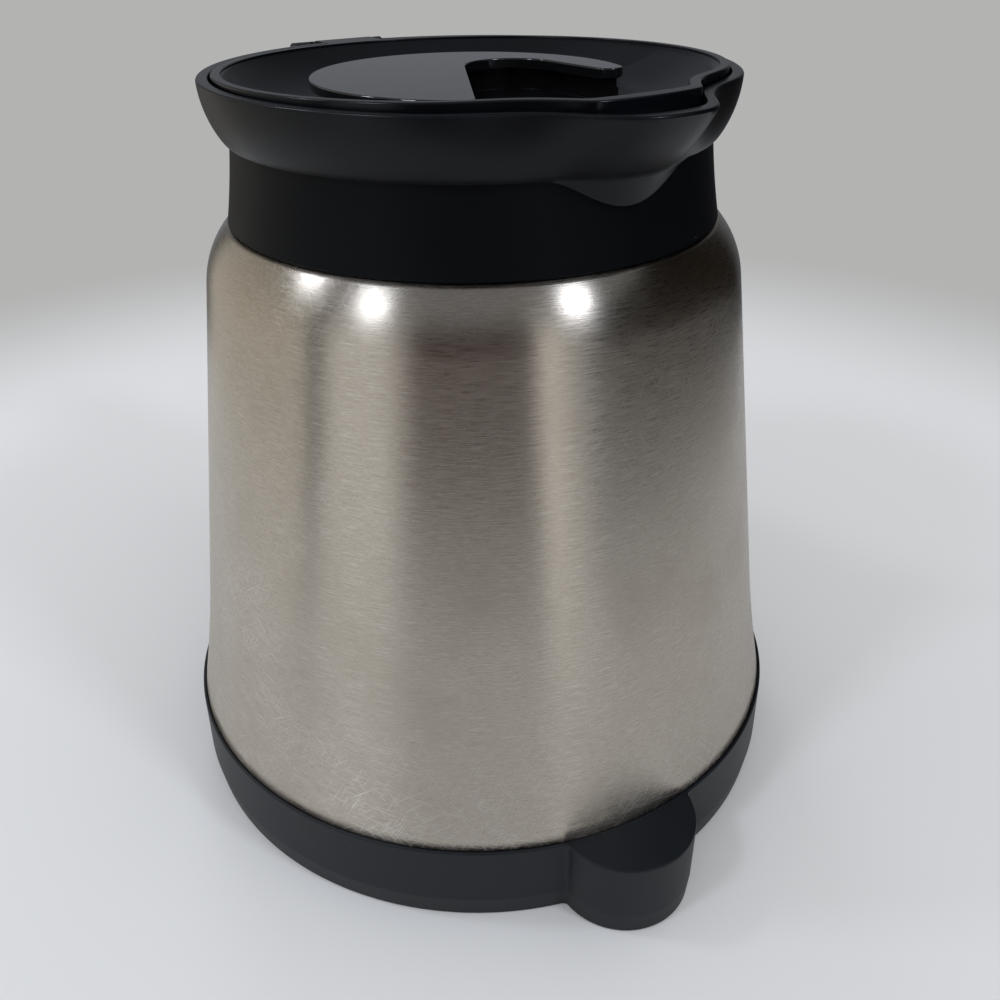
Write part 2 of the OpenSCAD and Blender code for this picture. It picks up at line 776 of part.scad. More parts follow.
module hinge_bracket() {
    tall = bracket_top_z - bracket_z;
    color("#1b1c1e")
    difference() {
        union() {
            translate([-bracket_rear, 0, arm_z])
                rotate([90, 0, 90])
                    linear_extrude(bracket_rear - neck_outer_r)
                        rounded_plan(2 * bracket_half, tall, bracket_corner);
            for (s = [-1, 1])
                translate([-hinge_out, s * ear_mid, hinge_z]) {
                    rotate([90, 0, 0])
                        cylinder(r = barrel_r, h = ear_t, center = true, $fn = 48);
                    translate([-barrel_r, -ear_t / 2, bracket_top_z - over - hinge_z])
                        cube([2 * barrel_r, ear_t, hinge_z - bracket_top_z + over]);
                }
        }
        translate([0, 0, bracket_z - over])
            cylinder(r = saddle_r, h = tall);
        translate([0, 0, seam_z - 2 * clear])
            cylinder(r = bracket_face, h = rim_z - seam_z);
        translate([-hinge_out, 0, hinge_z])
            rotate([90, 0, 0])
                cylinder(r = pin_r, h = 2 * bracket_half, center = true, $fn = 48);
        for (s = [-1, 1])
            translate([-bracket_screw_seat, s * bracket_screw_y, bracket_screw_z])
                rotate([0, -90, 0])
                    cylinder(r = bracket_screw_r + seat, h = bracket_screw_l + clear, $fn = 32);
        translate([0, 0, arm_z])
            rotate([0, -90, 0]) {
                cylinder(r = upper_screw_r + clear, h = bracket_rear + over, $fn = 32);
                cylinder(r = upper_head_r + clear, h = upper_screw_seat, $fn = 32);
            }
    }
}

module bracket_screws() {
    color("darkgray")
    for (s = [-1, 1])
        translate([-bracket_screw_seat + seat, s * bracket_screw_y, bracket_screw_z])
            rotate([0, -90, 0])
                screw(bracket_screw_r, bracket_screw_l, bracket_head_r, bracket_head_h);
}

module hinge_pin() {
    color("silver")
    translate([-hinge_out, 0, hinge_z])
        rotate([90, 0, 0])
            cylinder(r = pin_r, h = 2 * ear_out, center = true, $fn = 48);
}

// Middle line of the handle in the XZ plane, as [x, z, direction of travel]
handle_line = concat(
    [[-bracket_rear - seat, arm_z, 180]],
    [for (i = [0:6])
        let (a = 90 + i * 90 / 6)
        [-(handle_out - upper_bend) + upper_bend * cos(a), arm_z - upper_bend + upper_bend * sin(a),
         a + 90]],
    [[-handle_out - grip_belly, grip_belly_z, 270]],
    [for (i = [0:6])
        let (a = 180 + i * 90 / 6)
        [-(lower_out - lower_bend) + lower_bend * cos(a),
         foot_arm_z + lower_bend + lower_bend * sin(a), a + 90]],
    [[-tab_root, foot_arm_z, 360]]);

// Rounded section of the handle: width along Y, depth across the middle line
function grip_point(k, half_w, half_t) =
    let (a = k * 360 / grip_section, c = cos(a), s = sin(a))
    [half_w * sign(c) * pow(abs(c), grip_square), half_t * sign(s) * pow(abs(s), grip_square)];

module handle_grip() {
    n = len(handle_line);
    m = grip_section;
    color("#1b1c1e")
    difference() {
        polyhedron(
            points = [for (p = handle_line) for (k = [0:m - 1])
                let (low = p[1] < foot_arm_z + lower_bend ? lower_thin : 0,
                     q = grip_point(k, handle_w / 2, handle_t / 2 - low))
                [p[0] + q[1] * sin(p[2]), q[0], p[1] - q[1] * cos(p[2])]],
            faces = concat(
                [[for (k = [m - 1:-1:0]) k]],
                [for (i = [0:n - 2]) for (k = [0:m - 1])
                    let (a = i * m + k, b = i * m + (k + 1) % m)
                    for (f = [[a, b, b + m], [a, b + m, a + m]]) f],
                [[for (k = [0:m - 1]) (n - 1) * m + k]]));
        translate([0, 0, -over])
            cylinder(r = foot_r + base_proud + base_draft + clear, h = over + foot_arm_z + handle_t);
        translate([-tab_out - clear, -handle_w, -over])
            cube([tab_out, 2 * handle_w, over + tab_t + seat]);
        translate([-bracket_rear + over, 0, arm_z])
            rotate([0, -90, 0])
                cylinder(r = upper_screw_r + seat, h = upper_screw_bite + 2 * over, $fn = 32);
        translate([-lower_screw_out, 0, 0])
            cylinder(r = lower_screw_r + seat / 2, h = lower_screw_seat + lower_screw_l + over,
                $fn = 32);
    }
}

module upper_handle_screw() {
    color("darkgray")
    translate([-upper_screw_seat + seat, 0, arm_z])
        rotate([0, -90, 0])
            screw(upper_screw_r, bracket_rear - upper_screw_seat + upper_screw_bite, upper_head_r,
                upper_head_h);
}

module lower_handle_screw() {
    color("darkgray")
    translate([-lower_screw_out, 0, lower_screw_seat])
        screw(lower_screw_r, lower_screw_l, lower_head_r, lower_head_h);
}

// ---- Lid ----

module lid_dish() {
    color("#1d1e20")
    difference() {
        union() {
            round_moulding([for (a = ring_angles) lid_loop(a)]);
            translate([-hinge_out, -barrel_w / 2, tongue_z])
                cube([hinge_out - rim_r + rim_flat + lid_rim_w, barrel_w, rim_z - tongue_z - seat / 2]);
            translate([-hinge_out, 0, hinge_z]) {
                rotate([90, 0, 0])
                    cylinder(r = barrel_r, h = barrel_w, center = true, $fn = 48);
                rotate([0, -heel_turn, 0]) {
                    translate([0, -barrel_w / 2, -heel_r])
                        cube([heel_reach, barrel_w, 2 * heel_r]);
                    translate([heel_reach, 0, 0])
                        rotate([90, 0, 0])
                            cylinder(r = heel_r, h = barrel_w, center = true, $fn = 32);
                }
            }
        }
        translate([-hinge_out, 0, hinge_z])
            rotate([90, 0, 0])
                cylinder(r = pin_r + running_fit, h = 2 * barrel_w, center = true, $fn = 48);
        translate([-hinge_out - barrel_r, -barrel_w, hinge_z + barrel_r])
            cube([2 * barrel_r, 2 * barrel_w, hinge_drop]);
        for (a = lid_screw_angles)
            rotate([0, 0, a])
                translate([lid_screw_out, 0, dish_under_z - over])
                    cylinder(r = lid_screw_r + seat / 2, h = over + lid_screw_bite + 0.4, $fn = 32);
        translate([outlet_out, -window_half, dish_under_z - over])
            cube([rim_r - outlet_out, 2 * window_half, outlet_top_z - dish_under_z + over]);
    }
}

module lid_plug() {
    color("#26272a")
    difference() {
        rotate_extrude()
            polygon([
                [drum_bore_r, floor_z], [drum_bore_r, plug_top_z], [flange_r, plug_top_z],
                [flange_r, flange_z], [plug_neck_r, flange_z], [plug_r, plug_foot_z],
                [plug_r - plug_wall, plug_foot_z], [plug_neck_r - plug_wall, flange_z - flange_t],
                [well_outer_r, flange_z - flange_t], [well_outer_r, plug_foot_z],
                [drum_bore_r, plug_foot_z], [drum_bore_r, floor_under_z],
                [boss_r, floor_under_z], [boss_r, boss_foot_z], [0, boss_foot_z], [0, floor_z]]);
        translate([0, 0, boss_foot_z - over])
            cylinder(r = spindle_r + running_fit, h = floor_z - boss_foot_z + 2 * over, $fn = 48);
        for (a = coffee_hole_angles)
            rotate([0, 0, a])
                translate([coffee_hole_out, 0, floor_under_z - over])
                    cylinder(r = coffee_hole_r, h = floor_t + 2 * over, $fn = 48);
        translate([drum_r, -window_half, window_low_z])
            cube([flange_r, 2 * window_half, plug_top_z - window_low_z + over]);
        ring(o_ring_out + o_ring_r + 2 * seat, o_ring_out - o_ring_r - 2 * seat,
            plug_top_z - 2 * o_ring_r, plug_top_z + over);
        for (a = lid_screw_angles)
            rotate([0, 0, a])
                translate([lid_screw_out, 0, flange_z - over]) {
                    cylinder(r = lid_screw_r + clear, h = plug_top_z - flange_z + 2 * over, $fn = 32);
                    cylinder(r = lid_head_r + 2 * seat, h = over + lid_screw_seat - flange_z, $fn = 32);
                }
        translate([0, 0, groove_z]) {
            rotate([0, 0, tooth_angle])
                rotate_extrude(angle = dial_turn)
                    translate([tooth_out - groove_half, 0])
                        square([2 * groove_half, floor_z - groove_z + over]);
            for (a = [tooth_angle, tooth_angle + dial_turn])
                rotate([0, 0, a])
                    translate([tooth_out, 0, 0])
                        cylinder(r = groove_half, h = floor_z - groove_z + over, $fn = 32);
        }
    }
}

module plug_cover() {
    color("#26272a")
    ring(plug_r - plug_wall - seat, well_outer_r + seat, plug_foot_z, plug_foot_z + cover_t);
}

module lid_insulation() {
    color("khaki")
    rotate_extrude()
        polygon([
            [well_outer_r + foam_clear, foam_z],
            [plug_r - plug_wall - foam_clear, foam_z],
            [plug_neck_r - plug_wall - foam_clear, flange_z - flange_t - foam_clear],
            [well_outer_r + foam_clear, flange_z - flange_t - foam_clear]]);
}

module lid_gasket() {
    low = mouth_z + lip_t + gasket_squeeze;
    bevel = 0.5;
    inner = plug_neck_r + 0.7;
    outer = flange_r - gasket_squeeze;
    color("#8b8d90")
    rotate_extrude()
        polygon([
            [inner, flange_z - seat], [inner, low + 2 * bevel], [inner + bevel, low + bevel],
            [mouth_r + bevel, low], [outer - bevel, low], [outer, low + bevel],
            [outer, flange_z - seat]]);
}

module lid_screws() {
    color("darkgray")
    for (a = lid_screw_angles)
        rotate([0, 0, a])
            translate([lid_screw_out, 0, lid_screw_seat])
                screw(lid_screw_r, dish_under_z - lid_screw_seat + lid_screw_bite, lid_head_r,
                    lid_head_h);
}

module dial_o_ring() {
    color("#3a3a3c")
    rotate_extrude()
        translate([o_ring_out, plug_top_z - o_ring_r + seat])
            circle(r = o_ring_r, $fn = 24);
}

// ---- Dial ----

module dial_plate() {
    color("#101113")
    difference() {
        rotate_extrude()
            polygon([
                [0, plate_foot_z], [dial_r - dial_under, plate_foot_z],
                [dial_r, plate_foot_z + dial_under], [dial_r, dial_z - dial_edge],
                [dial_r - dial_edge, dial_z], [0, dial_z]]);
        translate([0, 0, plate_foot_z - over])
            linear_extrude(dial_t + 2 * over)
                recess_plan(0);
    }
}

module dial_hub() {
    color("#131416")
    difference() {
        union() {
            translate([0, 0, hub_z])
                cylinder(r = hub_r, h = plate_foot_z - hub_z);
            translate([0, 0, drum_foot_z])
                cylinder(r = drum_r, h = hub_z - drum_foot_z);
            translate([0, 0, boss_foot_z - 2 * seat])
                cylinder(r = spindle_r, h = hub_z - boss_foot_z, $fn = 48);
            rotate([0, 0, tooth_angle])
                translate([tooth_out, 0, drum_foot_z - tooth_h])
                    cylinder(r = tooth_r, h = tooth_h + over, $fn = 32);
        }
        translate([0, 0, recess_floor_z])
            linear_extrude(dial_z)
                recess_plan(recess_set);
        translate([0, 0, plate_foot_z - recess_ledge_h])
            linear_extrude(recess_ledge_h + over)
                recess_plan(recess_set + recess_ledge_set);
        ring(drum_r - drum_wall, spindle_r + drum_wall, drum_foot_z - 2 * tooth_h,
            hub_z - drum_top_t);
        translate([drum_r - 2 * drum_wall, -window_half + window_edge, window_low_z])
            cube([dial_r, 2 * (window_half - window_edge), window_high_z - window_low_z]);
        translate([0, 0, boss_foot_z - over])
            cylinder(r = dial_screw_r + seat / 2, h = dial_screw_l + over, $fn = 32);
    }
}

module dial_washer() {
    color("silver")
    ring(boss_r - 1, dial_screw_r + seat, washer_z, washer_z + washer_t);
}

module dial_screw() {
    color("darkgray")
    translate([0, 0, washer_z])
        screw(dial_screw_r, dial_screw_l, dial_head_r, dial_head_h);
}

outer_shell();
inner_flask();
shell_bottom();
getter();
vacuum_seal();
base_ring();
base_plate();
base_pad();
base_screws();
neck_collar();
collar_seal();
pour_bowl();
hinge_bracket();
bracket_screws();
handle_grip();
upper_handle_screw();
lower_handle_screw();
hinge_pin();
lid_dish();
lid_plug();
plug_cover();
lid_insulation();
lid_gasket();
lid_screws();
dial_o_ring();
dial_plate();
dial_hub();
dial_washer();
dial_screw();
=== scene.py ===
# %% [markdown]
# # Thermal carafe with flip lid: the looks
#
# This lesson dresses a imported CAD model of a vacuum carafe: brushed steel body, black base ring
# with a locating lug, black collar and spouted bowl, and a lid with a gloss turning dial. The CAD
# model fixes every place and size. Here its visible faces get smooth surfaces and real finishes.
#
# All lengths are written in millimetres, as on a drawing, and turned to Blender's metres at the end.

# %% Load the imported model
import math

import bmesh
import bpy
import numpy as np
from mathutils import Matrix, Vector


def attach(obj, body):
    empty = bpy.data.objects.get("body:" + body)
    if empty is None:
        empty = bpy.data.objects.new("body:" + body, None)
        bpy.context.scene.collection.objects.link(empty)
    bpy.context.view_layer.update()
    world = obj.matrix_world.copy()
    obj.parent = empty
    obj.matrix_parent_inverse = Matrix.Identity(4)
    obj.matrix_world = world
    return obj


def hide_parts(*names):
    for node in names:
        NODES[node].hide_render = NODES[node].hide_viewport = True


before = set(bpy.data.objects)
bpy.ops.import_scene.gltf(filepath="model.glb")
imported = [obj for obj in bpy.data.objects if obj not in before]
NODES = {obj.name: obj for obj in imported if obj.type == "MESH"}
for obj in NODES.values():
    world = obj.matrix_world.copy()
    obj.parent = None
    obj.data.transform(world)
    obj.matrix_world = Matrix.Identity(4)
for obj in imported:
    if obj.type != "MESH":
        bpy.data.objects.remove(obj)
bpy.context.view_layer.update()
MM = 0.001

# %% [markdown]
# ## The camera
#
# The photograph was taken from the front right and above, about 23 cm from the middle of the carafe.
# Place, aim and lens were solved from the ellipses of the base, the shoulder and the rim. A camera
# could also be aimed by a Track To constraint. Here the three directions are written as a matrix,
# because the photo is also rolled by half a degree.

# %% Camera
CAMERA_AT, CAMERA_WAY, CAMERA_ROLL = (170.7, -108.3, 182.4), (-0.7099, 0.4747, -0.5204), -0.4526
FOCAL_PIXELS, PICTURE_PIXELS, SENSOR = 983.7, 1000, 36


def look_matrix(place, forward, roll):
    """Matrix of a camera: its -Z runs along forward, its X is level, then both X and Y turn by roll."""
    forward = Vector(forward).normalized()
    right = forward.cross(Vector((0, 0, 1))).normalized()
    up = right.cross(forward)
    c, s = math.cos(math.radians(roll)), math.sin(math.radians(roll))
    x, y = right * c + up * s, up * c - right * s
    rows = Matrix((x, y, -forward)).transposed().to_4x4()
    rows.translation = Vector(place) * MM
    return rows


lens = bpy.data.cameras.new("camera")
lens.sensor_width = SENSOR
lens.lens = FOCAL_PIXELS * SENSOR / PICTURE_PIXELS
camera = bpy.data.objects.new("camera", lens)
camera.matrix_world = look_matrix(CAMERA_AT, CAMERA_WAY, CAMERA_ROLL)
bpy.context.scene.collection.objects.link(camera)
bpy.context.scene.camera = camera
print("lens in mm:", round(lens.lens, 2))

# %% [markdown]
# ## Helpers for colours, nodes and meshes
#
# Colours are written as the hex codes of a picture editor and turned to the linear values that light
# adds up in. Every node of every material is added by one function, every drawn mesh by another.

# %% Colours, nodes and meshes
def rgb(code):
    """An sRGB hex colour as linear values: v / 12.92 below 0.04045, else ((v + 0.055) / 1.055) ** 2.4."""
    v = np.array([int(code[i:i + 2], 16) / 255 for i in (1, 3, 5)])
    linear = np.where(v <= 0.04045, v / 12.92, ((v + 0.055) / 1.055) ** 2.4)
    return (*(float(x) for x in linear), 1.0)


def add(tree, kind, inputs=None, **settings):
    """Adds one node of a kind: settings are its own options, inputs are numbers, colours or links."""
    node = tree.nodes.new("ShaderNode" + kind)
    for name, value in settings.items():
        setattr(node, name, value)
    for name, value in (inputs or {}).items():
        if isinstance(value, bpy.types.NodeSocket):
            tree.links.new(value, node.inputs[name])
        else:
            node.inputs[name].default_value = value
    return node


def new_material(name, **values):
    """A material with one Principled shader. Values are set on the shader's own sockets."""
    material = bpy.data.materials.new(name)
    material.use_nodes = True
    tree = material.node_tree
    shader = tree.nodes["Principled BSDF"]
    for socket, value in values.items():
        shader.inputs[socket.replace("_", " ")].default_value = value
    return material, tree, shader


def mesh_object(name, points, faces):
    """A new object in the scene, from an array of points in metres and lists of point numbers."""
    mesh = bpy.data.meshes.new(name)
    mesh.from_pydata(points.tolist(), [], faces)
    obj = bpy.data.objects.new(name, mesh)
    bpy.context.scene.collection.objects.link(obj)
    return obj


# %% [markdown]
# ## The studio
#
# The carafe stands on a pale floor under soft light from all around. A backdrop wall would hide the
# other views, so the floor runs on and fades to the tone of a wall. In reflections the sky is darker
# than it lights, as a room's ceiling is, and the floor is a little darker too.

# %% Floor and world
FADE_NEAR, FADE_FAR, DIM_SHARE = 0.24, 0.42, 0.12


def show_plain(tree, factor, shader_socket, colour):
    """Mixes in a plain glow by a factor: there the picture sees the colour as written."""
    glow = add(tree, "Emission", {"Color": colour, "Strength": 1.0})
    return add(tree, "MixShader", {0: factor, 1: shader_socket, 2: glow.outputs[0]})


def disc(name, radius, sides=96):
    """A flat round floor: points (r cos a, r sin a, 0)."""
    a = np.linspace(0, 2 * math.pi, sides, endpoint=False)
    obj = mesh_object(name, np.stack([radius * np.cos(a), radius * np.sin(a), 0 * a], -1),
                      [tuple(range(sides))])
    return obj


WALL = rgb("#b3b3b2")
world = bpy.data.worlds.new("studio")
world.use_nodes = True
bpy.context.scene.world = world
tree = world.node_tree
room = tree.nodes["Background"]
room.inputs["Color"].default_value = rgb("#f4f4f6")
room.inputs["Strength"].default_value = 0.74
path = add(tree, "LightPath")
ceiling = show_plain(tree, path.outputs["Is Glossy Ray"], room.outputs[0], rgb("#84868a"))
mixed = show_plain(tree, path.outputs["Is Camera Ray"], ceiling.outputs[0], WALL)
tree.links.new(mixed.outputs[0], tree.nodes["World Output"].inputs["Surface"])

floor = disc("floor", 3.0)
cloth, tree, shader = new_material("floor_matte_white", Base_Color=rgb("#e3e3e1"), Roughness=0.9)
place = add(tree, "TexCoord")
far = add(tree, "VectorMath", {0: place.outputs["Object"]}, operation="LENGTH")
fade = add(tree, "MapRange", {"Value": far.outputs["Value"], "From Min": FADE_NEAR,
                        "From Max": FADE_FAR}, interpolation_type="SMOOTHSTEP")
seen = add(tree, "LightPath").outputs["Is Camera Ray"]
both = add(tree, "Math", {0: fade.outputs[0], 1: seen}, operation="MULTIPLY").outputs[0]
shine = add(tree, "Math", {0: add(tree, "LightPath").outputs["Is Glossy Ray"], 1: DIM_SHARE},
            operation="MULTIPLY")
dimmed = show_plain(tree, shine.outputs[0], shader.outputs[0], rgb("#5a5a5c"))
mixed = show_plain(tree, both, dimmed.outputs[0], WALL)
tree.links.new(mixed.outputs[0], tree.nodes["Material Output"].inputs["Surface"])
floor.data.materials.append(cloth)

# %% [markdown]
# Polished and brushed metal is only as good as what it mirrors. Photographers put such a pot in a
# tent: a wall of cloth round it with darker cards in front, which draw calm dark bands on the steel.
# Here the tent is a low round wall that only reflections can see. Its tone depends on the direction,
# and it grows darker upwards.

# %% Reflection tent
TENT_R, TENT_TOP, TENT_RISE = 0.34, 0.42, 0.14
FALL_FROM, FALL_TO, TONE_LOW, TONE_HIGH = 0.10, 0.36, 1.06, 0.62
TENT_TONES = ((-180, "#7c7f84"), (-172, "#5a5855"), (-160, "#bcb8b0"), (-100, "#b8b4ab"), (-94, "#1c1815"),
              (-86, "#d4d4d2"), (-65, "#ccccca"), (-54, "#3c261d"), (-14, "#331f18"), (-7, "#f2f2f0"),
              (1, "#b0aeaa"), (11, "#26221f"), (98, "#23201c"), (124, "#7c7f84"))


def tent_wall(sides=72):
    """An open round wall, high behind the pot: z from 0.001 to top - rise cos(a + 40 degrees)."""
    a = np.linspace(0, 2 * math.pi, sides, endpoint=False)
    top = TENT_TOP - TENT_RISE * np.cos(a + math.radians(40))
    ring = [np.stack([TENT_R * np.cos(a), TENT_R * np.sin(a), z], -1) for z in (0 * a + 0.001, top)]
    i = np.arange(sides)
    k = (i + 1) % sides
    obj = mesh_object("tent", np.concatenate(ring),
                      np.stack([k, i, i + sides, k + sides], -1).tolist())
    obj.visible_camera = obj.visible_diffuse = obj.visible_shadow = False
    obj.visible_transmission = obj.visible_volume_scatter = False
    return obj


tent = tent_wall()
cloth, tree, shader = new_material("tent_cloth")
place = add(tree, "SeparateXYZ", {0: add(tree, "TexCoord").outputs["Object"]})
turn = add(tree, "Math", {0: place.outputs["Y"], 1: place.outputs["X"]}, operation="ARCTAN2")
part = add(tree, "MapRange", {"Value": turn.outputs[0], "From Min": -math.pi, "From Max": math.pi})
ramp = add(tree, "ValToRGB", {0: part.outputs[0]})
for n, (degrees, tone) in enumerate(TENT_TONES):
    stops = ramp.color_ramp.elements
    stop = stops[0] if n == 0 else stops[1] if n == 1 else stops.new((degrees + 180) / 360)
    stop.position, stop.color = (degrees + 180) / 360, rgb(tone)
fall = add(tree, "MapRange", {"Value": place.outputs["Z"], "From Min": FALL_FROM,
                              "From Max": FALL_TO, "To Min": TONE_LOW, "To Max": TONE_HIGH})
glow = add(tree, "Emission", {"Color": ramp.outputs[0], "Strength": fall.outputs[0]})
tree.links.new(glow.outputs[0], tree.nodes["Material Output"].inputs["Surface"])
tent.data.materials.append(cloth)
print("tent tones:", len(TENT_TONES))


# %% [markdown]
# Brushed metal shows a lamp as a bright spot on the rounded shoulder with a tall soft streak under
# it. The photographed steel has three such spots, so three small panel lamps stand high in front. A
# fourth one behind gives the lid's dish its sheen. Their light is a little cool, the steel is warm.

# %% Lamps
COOL = "#e8f0ff"


def lamp(name, azimuth, elevation, size, power, distance=1.1):
    """A soft panel lamp. It stands at azimuth and elevation from the carafe and faces it."""
    light = bpy.data.lights.new(name, "AREA")
    light.shape = "RECTANGLE"
    light.size, light.size_y = size
    light.energy = power
    light.color = rgb(COOL)[:3]
    a, e = math.radians(azimuth), math.radians(elevation)
    way = Vector((math.cos(e) * math.cos(a), math.cos(e) * math.sin(a), math.sin(e)))
    obj = bpy.data.objects.new(name, light)
    target = Vector((0, 0, 0.09))
    obj.matrix_world = Matrix.Translation(target + way * distance) @ \
        way.to_track_quat("Z", "Y").to_matrix().to_4x4()
    bpy.context.scene.collection.objects.link(obj)
    return obj


lamp("lamp_left", -84, 45, (0.16, 0.13), 1.9)
lamp("lamp_right", 18, 45.5, (0.17, 0.13), 2.1)
lamp("lamp_side", -129, 45.5, (0.12, 0.1), 1.3)
lamp("lamp_back", 162, 37, (0.3, 0.12), 0.9)

# %% [markdown]
# ## Surfaces on a grid
#
# Most pieces here are moulded or turned, so each is a grid of points: one direction runs along the
# section, the other round the axis. Lathe or Screw modifiers could do the round ones, but not the
# bowl, whose section changes on its way round the spout. A function of two parameters does both.

# %% Grid helpers
def surface(name, points, closed_section=True):
    """Mesh from points[i, j], i round the piece and j along its section, in millimetres.

    Face (i, j) joins the four neighbours. The last ring joins the first, and a closed section joins
    its last point to its first.
    """
    rings, along = points.shape[:2]
    i = np.arange(rings)[:, None]
    j = np.arange(along if closed_section else along - 1)[None, :]
    k, l = (i + 1) % rings, (j + 1) % along
    faces = np.stack([i * along + j, k * along + j, k * along + l, i * along + l], -1).reshape(-1, 4)
    return mesh_object(name, points.reshape(-1, 3) * MM, faces.tolist())


def turned(angles, radius, height):
    """Points of a round piece: (r cos a, r sin a, z), r and z given per angle and section point."""
    a = np.broadcast_to(np.radians(angles)[:, None], radius.shape)
    return np.stack([radius * np.cos(a), radius * np.sin(a), np.broadcast_to(height, radius.shape)], -1)


def smooth(obj, degrees=40):
    """Smooth shading with sharp edges beyond an angle. Flat faces keep their own normal.

    Weighted Normal leans each corner's normal to its largest face, so a flat face stays flat up to
    the small round edge beside it.
    """
    obj.data.shade_smooth()
    obj.data.set_sharp_from_angle(angle=math.radians(degrees))
    even = obj.modifiers.new("even", "WEIGHTED_NORMAL")
    even.keep_sharp, even.weight = True, 90
    return obj


def finish_piece(obj, body, slot, material, *nodes):
    """A new piece rides on its body, takes its finish, and stands for CAD nodes."""
    obj.data.materials.clear()
    obj.data.materials.append(material)
    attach(obj, body)
    if nodes:
        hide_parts(*nodes)
    co = np.array([v.co for v in obj.data.vertices])
    print(obj.name, "faces", len(obj.data.polygons), "mm", (co.min(0) / MM).round(1),
          (co.max(0) / MM).round(1))
    return obj


def close_up(mesh):
    """Fills open ends with a flat face and turns all faces outwards."""
    shape = bmesh.new()
    shape.from_mesh(mesh)
    ends = [e for e in shape.edges if e.is_boundary]
    bmesh.ops.holes_fill(shape, edges=ends, sides=0)
    bmesh.ops.recalc_face_normals(shape, faces=shape.faces)
    shape.to_mesh(mesh)
    shape.free()


def carve(obj, tool, operation="DIFFERENCE"):
    """Boolean with a tool object, applied at once; the tool is removed afterwards."""
    step = obj.modifiers.new("carve", "BOOLEAN")
    step.operation, step.object, step.solver = operation, tool, "EXACT"
    bpy.context.view_layer.objects.active = obj
    bpy.ops.object.modifier_apply(modifier=step.name)
    bpy.data.objects.remove(tool)
    return obj


def block(name, low, high):
    """A plain box between two corners in millimetres, used as a carving tool."""
    x, y, z = [np.array([low[n], high[n]], float) for n in range(3)]
    grid = np.array([[x[a], y[b], z[c]] for a in (0, 1) for b in (0, 1) for c in (0, 1)]) * MM
    return mesh_object(name, grid, [(0, 1, 3, 2), (4, 6, 7, 5), (0, 4, 5, 1), (2, 3, 7, 6),
                                    (0, 2, 6, 4), (1, 5, 7, 3)])


# %% [markdown]
# ## Sizes
#
# The same sizes as in the CAD model. A piece that is drawn again here has to stay on its solid.

# %% Sizes in millimetres
FOOT_R, SHOULDER_Z, SHOULDER_R, BEND, TURN = 70.0, 118.5, 54.5, 18.0, 40.0
FLARE, FLARE_H, BASE_H, SHEET = 1.1, 28.0, 19.3, 0.6
CONE_SLOPE = (FOOT_R - FLARE - SHOULDER_R) / (SHOULDER_Z - BASE_H)
CONE = math.degrees(math.atan(CONE_SLOPE))
NECK_IN, NECK_OUT = 43.6, 44.2
CROWN_Z = SHOULDER_Z + BEND * (math.sin(math.radians(CONE + TURN)) - math.sin(math.radians(CONE))) + 0.25
COLLAR_FOOT, WAIST, COLLAR_FOOT_Z = 48.75, 46.3, CROWN_Z + 0.1
SEAM_Z = COLLAR_FOOT_Z + 15.2
COLLAR_TOP_Z, RIM_Z, RIM_R, RIM_FLAT = SEAM_Z + 2.2, SEAM_Z + 10.8, 50.7, 2.2
MOUTH_Z, LEDGE_Z, LEDGE_R, THROAT_R = RIM_Z - 16.7, RIM_Z - 6.7, 48.0, 45.0
DISH_Z, LID_RIM, WELL_R, SKIRT_R = RIM_Z - 7.5, 1.8, 29.3, 47.1
LID_RISE, WRAP = 1.5, 0.85
DIAL_R, DIAL_Z, DIAL_T, DIAL_UNDER, DIAL_EDGE = 30.6, RIM_Z - 1.2, 2.0, 0.8, 0.32
RECESS_MID, RECESS_R, RECESS_WAYS, TAIL_R, HORN_R = (-4.1, 12.45), 9.5, (95, 240.4), 3.0, 1.7
HINGE_X, HINGE_Z, BARREL_R, PIN_R, BARREL_W = -57.5, RIM_Z - 3.2, 2.7, 1.25, 13.5
print("crown of the steel at", round(CROWN_Z, 2))


def steel_radius(z):
    """Cone of the body plus its flare: r = r_s + slope (z_s - z) + flare f^2, f = 1 at the foot."""
    f = np.maximum(0, 1 - (z - BASE_H) / FLARE_H)
    return SHOULDER_R + CONE_SLOPE * (SHOULDER_Z - z) + FLARE * f ** 2


def collar_radius(z):
    """Waist of the collar: r grows from the seam downwards by 0.65 d + 0.35 d^2 of the full change."""
    d = np.maximum(0, SEAM_Z - z) / (SEAM_Z - COLLAR_FOOT_Z)
    return WAIST + (COLLAR_FOOT - WAIST) * (0.65 * d + 0.35 * d ** 2)


def rim_outline(s):
    """Rim seen from above: circle + nose / (1 + (s / 13.3)^3.6) - pinch at 24 degrees, s from the spout."""
    return RIM_R + 9.0 / (1 + (s / 13.3) ** 3.6) - 2.1 * np.exp(-((s - 24) / 12.5) ** 2)


def rim_inner(s):
    """Inner edge of the rim: the wall is thicker in the nose."""
    return rim_outline(s) - RIM_FLAT - 0.5 * np.exp(-(s / 10) ** 2)


# %% [markdown]
# ## The steel body
#
# The real body is a drawn sheet of stainless steel that was turned on a spindle against an abrasive
# belt, so its brush lines run round it. The piece is a turned profile: joggle, flared cone, rounded
# shoulder, neck and the inner side of the sheet. It has a UV map in real metres, u round the body
# and v along the profile, so that the brush lines follow the shoulder too.

